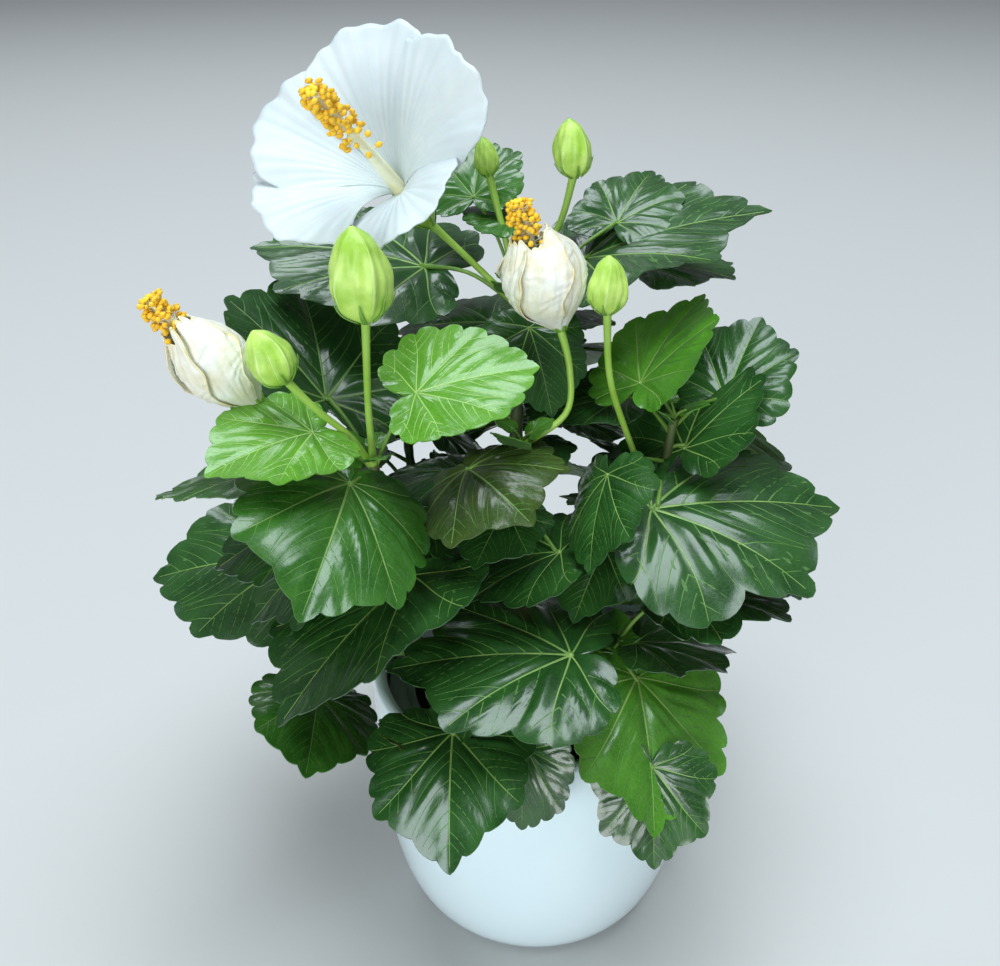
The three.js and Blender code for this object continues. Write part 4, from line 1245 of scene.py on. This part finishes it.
def add_bud(shape, row):
    """Five closed lobes with pale edges and veins, and short narrow bracts at the foot."""
    length, width = row["length"], row["width"]
    rings, sides = BUD_GRID
    shares = np.linspace(0, 1, rings)[:, None]
    turns = np.linspace(0, 2 * math.pi, sides, endpoint=False)[None, :]
    points = around_axis(bud_radius(shares, turns, width), turns, shares * length)
    shape.add(stand(points.reshape(-1, 3), row), [grid_faces(rings, sides, True)], 0)
    up = np.linspace(0.06, 0.98, 30)
    for line in range(10):
        half = (0.04 if line % 2 == 0 else 0.016) * np.sin(np.pi * np.clip(up + 0.1, 0, 1))
        rows = []
        for side in (-1, 0, 1):
            turn = math.radians(36 * line) + BUD_WIND * up + side * half
            rise = bud_radius(up, turn, width) + (0.14 if side == 0 else 0.03)
            rows.append(around_axis(rise, turn, up * length))
        shape.add(stand(np.concatenate(rows), row), [grid_faces(3, len(up), False)[:, ::-1]], 1)
    along = np.linspace(0, 1, 10)[:, None]
    for bract in range(BRACTS):
        turn = math.radians(360 / BRACTS * bract + 12)
        radius = bud_radius(along * 0.3, turn, width) + 0.5 + 0.8 * along ** 2
        add_bract(shape, row, turn, 0.075 * width, radius, along * 0.3 * length - 0.5, 2)


def add_furled(shape, row):
    """A spent bloom: five petals wrapped round each other, with creases along them and curled yellow hems."""
    length, width = row["length"], row["width"]
    heights = np.linspace(0, 1, SPENT_GRID[0])[:, None]
    profile = smooth_through(heights, (0, 0.12, 0.3, 0.56, 0.82, 1), (0.16, 0.42, 0.8, 1, 0.86, 0.5))
    across = np.linspace(0, 1, SPENT_GRID[1])[None, :]
    for petal in range(SPENT_PETALS):
        phase = np.random.default_rng(200 + petal).uniform(0, 6)
        wander = np.array([
            [noise.noise(Vector((3 * share, 4 * height, 9 * petal))) for share in across[0]]
            for height in heights[:, 0]
        ])
        turn = math.radians(72 * petal) + np.radians(165) * across + 0.9 * heights + 0.2 * wander
        wrap = 0.84 + 0.18 * across ** 1.5 + 0.06 * wander
        pleat = 0.024 * np.sin(across * 52 + 6 * wander + petal) + 0.014 * np.sin(across * 113 + 9 * wander)
        crumple = 0.011 * np.sin(heights * 30 + 12 * wander + 6 * across)
        radius = width * profile * (wrap + pleat * np.sqrt(heights) + crumple)
        radius = radius + width * 0.07 * across ** 14 * heights
        frill = 0.07 * np.sin(across * 8 + phase) + 0.035 * np.sin(across * 21)
        rows = around_axis(radius, turn, length * (heights + heights ** 4 * frill))
        add_sheet(shape, stand(rows, row), 0.4, 0)
        add_sheet(shape, stand(rows[12:, -2:] * (1.004, 1.004, 1), row), 0.4, 1)
        add_sheet(shape, stand(rows[-2:] * (1.006, 1.006, 1.002), row), 0.4, 1)


def bloom_stalk_shape(row):
    steps = np.linspace(0, 1, 20)
    radii = PEDICEL_RADIUS * (0.85 + 0.35 * steps ** 6 + 0.3 * (1 - steps) ** 8)
    shape = Shape()
    shape.add(*tube(bloom_stalk(row).at(steps), radii, 10), 0)
    return shape


def bloom_head_shapes(row):
    """A head by its kind, with its stamens and calyx once it has opened."""
    head, stamens, calyx = Shape(), Shape(), Shape()
    if row["kind"] == "bud":
        add_bud(head, row)
        return [("head", head, [BUD, BUD_RIB, BRACT])]
    if row["kind"] == "open":
        finishes = [PETAL]
        add_petals(head, row)
        add_stamens(stamens, row, THROAT_DEPTH - 10, COLUMN_LENGTH, 116, 3.8, 0.46)
        add_calyx(calyx, row, 7, 26)
    else:
        finishes = [PETAL_SPENT, PETAL_HEM]
        add_furled(head, row)
        add_stamens(stamens, row, row["length"] - 16, row["length"] + SPENT_COLUMN, 90, 1.8, 0.3)
        add_calyx(calyx, row, 6, CALYX_LENGTH)
    return [
        ("petals", head, finishes),
        ("stamens", stamens, [COLUMN, ANTHER, STIGMA]),
        ("calyx", calyx, [BUD, BRACT]),
    ]


def dress_blooms():
    total = 0
    for name, row in BLOOMS.items():
        for part, shape, materials in [("stalk", bloom_stalk_shape(row), [PEDICEL]), *bloom_head_shapes(row)]:
            make_piece(f"{name}_{part}", shape, materials, [])
            total += shape.triangles()
    return total


# Pot, liner and soil.

def arc(centre, radius, start, end, count):
    """Points of a round corner, as radius and height."""
    turns = np.radians(np.linspace(start, end, count))
    return np.stack([centre[0] + radius * np.cos(turns), centre[1] + radius * np.sin(turns)], axis=1)


def dress_pot():
    rim_foot = POT_HEIGHT - RIM_ROLL
    inner_edge = POT_RIM_RADIUS - RIM_WIDTH
    outside = [(float(pot_radius(height)), height) for height in np.linspace(2.5, rim_foot, 40)]
    inside = [
        (min(float(pot_radius(height)) - POT_WALL, inner_edge + 2), height)
        for height in np.linspace(POT_HEIGHT * 0.8, POT_FLOOR + 4, 24)
    ]
    profile = [
        (0.01, 1.2), (POT_BASE_RADIUS - 9, 1.2), (POT_BASE_RADIUS - 7.5, 0.2), (POT_BASE_RADIUS - 5, 0),
        (POT_BASE_RADIUS - 2, 0), (POT_BASE_RADIUS + 3, 0.5), *outside,
        *arc((POT_RIM_RADIUS - RIM_ROLL, rim_foot), RIM_ROLL, 10, 170, 14),
        (inner_edge, rim_foot - 1), (inner_edge, POT_HEIGHT - 8), *inside,
        (POT_BASE_RADIUS - 2, POT_FLOOR), (0.01, POT_FLOOR),
    ]
    shape = Shape()
    shape.add(*turned(profile))
    make_piece("pot_shell", shape, [SKY_TINTED_POT], ["pot"])
    return shape.triangles()


def dress_liner():
    foot = POT_FLOOR + GAP
    lip = POT_RIM_RADIUS - RIM_WIDTH - GAP - 0.4
    profile = [
        (0.01, foot), (LINER_FOOT_RADIUS - 2, foot), (LINER_FOOT_RADIUS, foot + 2),
        (LINER_INNER_RADIUS + LINER_WALL, LINER_TOP - 14), (LINER_INNER_RADIUS + LINER_WALL, LINER_TOP - 3),
        (lip, LINER_TOP - 3), *arc((lip - 1, LINER_TOP - 1), 1, 0, 90, 5),
        (LINER_INNER_RADIUS + 5.5, LINER_TOP), (LINER_INNER_RADIUS + 5, LINER_TOP - 0.7),
        (LINER_INNER_RADIUS + 4, LINER_TOP - 0.7), (LINER_INNER_RADIUS + 3.5, LINER_TOP),
        *arc((LINER_INNER_RADIUS + 1.2, LINER_TOP - 1.2), 1.2, 90, 180, 5),
        (LINER_INNER_RADIUS, LINER_TOP - 14), (LINER_FOOT_RADIUS - LINER_WALL, foot + LINER_WALL),
        (0.01, foot + LINER_WALL),
    ]
    shape = Shape()
    shape.add(*turned(profile))
    make_piece("liner_cup", shape, [LINER], ["liner"])
    return shape.triangles()


def dress_soil():
    """A crumbly surface of peat over a plain body."""
    foot = POT_FLOOR + 2 * GAP + LINER_WALL
    edge = LINER_INNER_RADIUS - 2 * GAP
    rings, sides = SOIL_GRID
    radii = np.linspace(edge, 0.4, rings)
    turns = np.linspace(0, 2 * math.pi, sides, endpoint=False)
    points = []
    for radius in radii:
        for turn in turns:
            x, y = radius * math.cos(turn), radius * math.sin(turn)
            base = SOIL_TOP - 3 * max(0, (radius - (edge - 8)) / 8)
            clod = noise.noise(Vector((x * 0.12, y * 0.12, 1.0)))
            lump = noise.noise(Vector((x * 0.45, y * 0.45, 5.0)))
            points.append((x, y, base - 1.0 + 1.1 * (clod + 0.8 * lump)))
    top = np.array(points).reshape(rings, sides, 3)
    wall = np.stack([top[0], top[0] * (1, 1, 0) + (0, 0, LINER_TOP - 14)])
    wall = np.concatenate([wall, [wall[1] * np.array([0.78, 0.78, 0]) + (0, 0, foot)]])[::-1]
    shape = Shape()
    shape.add(top.reshape(-1, 3), [grid_faces(rings, sides, True)])
    shape.add(wall.reshape(-1, 3), [grid_faces(3, sides, True)])
    chance = np.random.default_rng(7)
    for _ in range(CRUMBS):
        radius = edge * math.sqrt(chance.uniform(0.01, 0.94))
        turn = chance.uniform(0, 2 * math.pi)
        size = chance.uniform(0.5, 1.7)
        height = SOIL_TOP - 1.2 + chance.uniform(-0.5, 0.6)
        centre = (radius * math.cos(turn), radius * math.sin(turn), height)
        shape.add(*ball(centre, size * chance.uniform(0.5, 1.2, 3), 4, 5))
    make_piece("peat", shape, [PEAT], ["soil"])
    return shape.triangles()


# Stage.

def make_floor():
    corners = [(x * FLOOR_HALF, y * FLOOR_HALF, 0) for x, y in ((-1, -1), (1, -1), (1, 1), (-1, 1))]
    mesh = bpy.data.meshes.new("floor")
    mesh.from_pydata(corners, [], [(0, 1, 2, 3)])
    floor = bpy.data.objects.new("floor", mesh)
    bpy.context.scene.collection.objects.link(floor)
    material = bpy.data.materials.new("floor_pale")
    material.use_nodes = True
    shader = material.node_tree.nodes["Principled BSDF"]
    shader.inputs["Base Color"].default_value = FLOOR_COLOUR
    shader.inputs["Roughness"].default_value = 0.8
    mesh.materials.append(material)


def make_light(name, place, target, size, power, tint):
    data = bpy.data.lights.new(name, "AREA")
    data.shape = "RECTANGLE"
    data.size, data.size_y = size
    data.energy = power
    data.color = tint
    light = bpy.data.objects.new(name, data)
    light.location = place
    light.rotation_euler = (Vector(target) - Vector(place)).to_track_quat("-Z", "Y").to_euler()
    bpy.context.scene.collection.objects.link(light)


def make_lights():
    for name, row in LIGHTS.items():
        make_light(name, *row)
    world = bpy.data.worlds.new("studio")
    world.use_nodes = True
    world.node_tree.nodes["Background"].inputs["Color"].default_value = WORLD_COLOUR
    world.node_tree.nodes["Background"].inputs["Strength"].default_value = WORLD_STRENGTH
    bpy.context.scene.world = world
    bpy.context.scene.view_settings.view_transform = "Standard"


def make_camera():
    data = bpy.data.cameras.new("camera")
    data.lens = data.sensor_width * FOCAL_PIXELS / IMAGE_WIDTH
    data.clip_start = 0.01
    camera = bpy.data.objects.new("camera", data)
    camera.location = CAMERA_PLACE
    camera.rotation_euler = (math.radians(90 - CAMERA_DIP), 0, 0)
    bpy.context.scene.collection.objects.link(camera)
    bpy.context.scene.camera = camera


def build():
    counts = {"pot": dress_pot(), "liner": dress_liner(), "soil": dress_soil(), "bark": dress_bark()}
    first = 0
    for name, leaves in grow_leaves().items():
        counts[name] = dress_limb(name, leaves, first)
        first += len(leaves)
    counts["blooms"] = dress_blooms()
    print("leaves", first, "triangles", counts, "all", sum(counts.values()))


build()
make_floor()
make_lights()
make_camera()
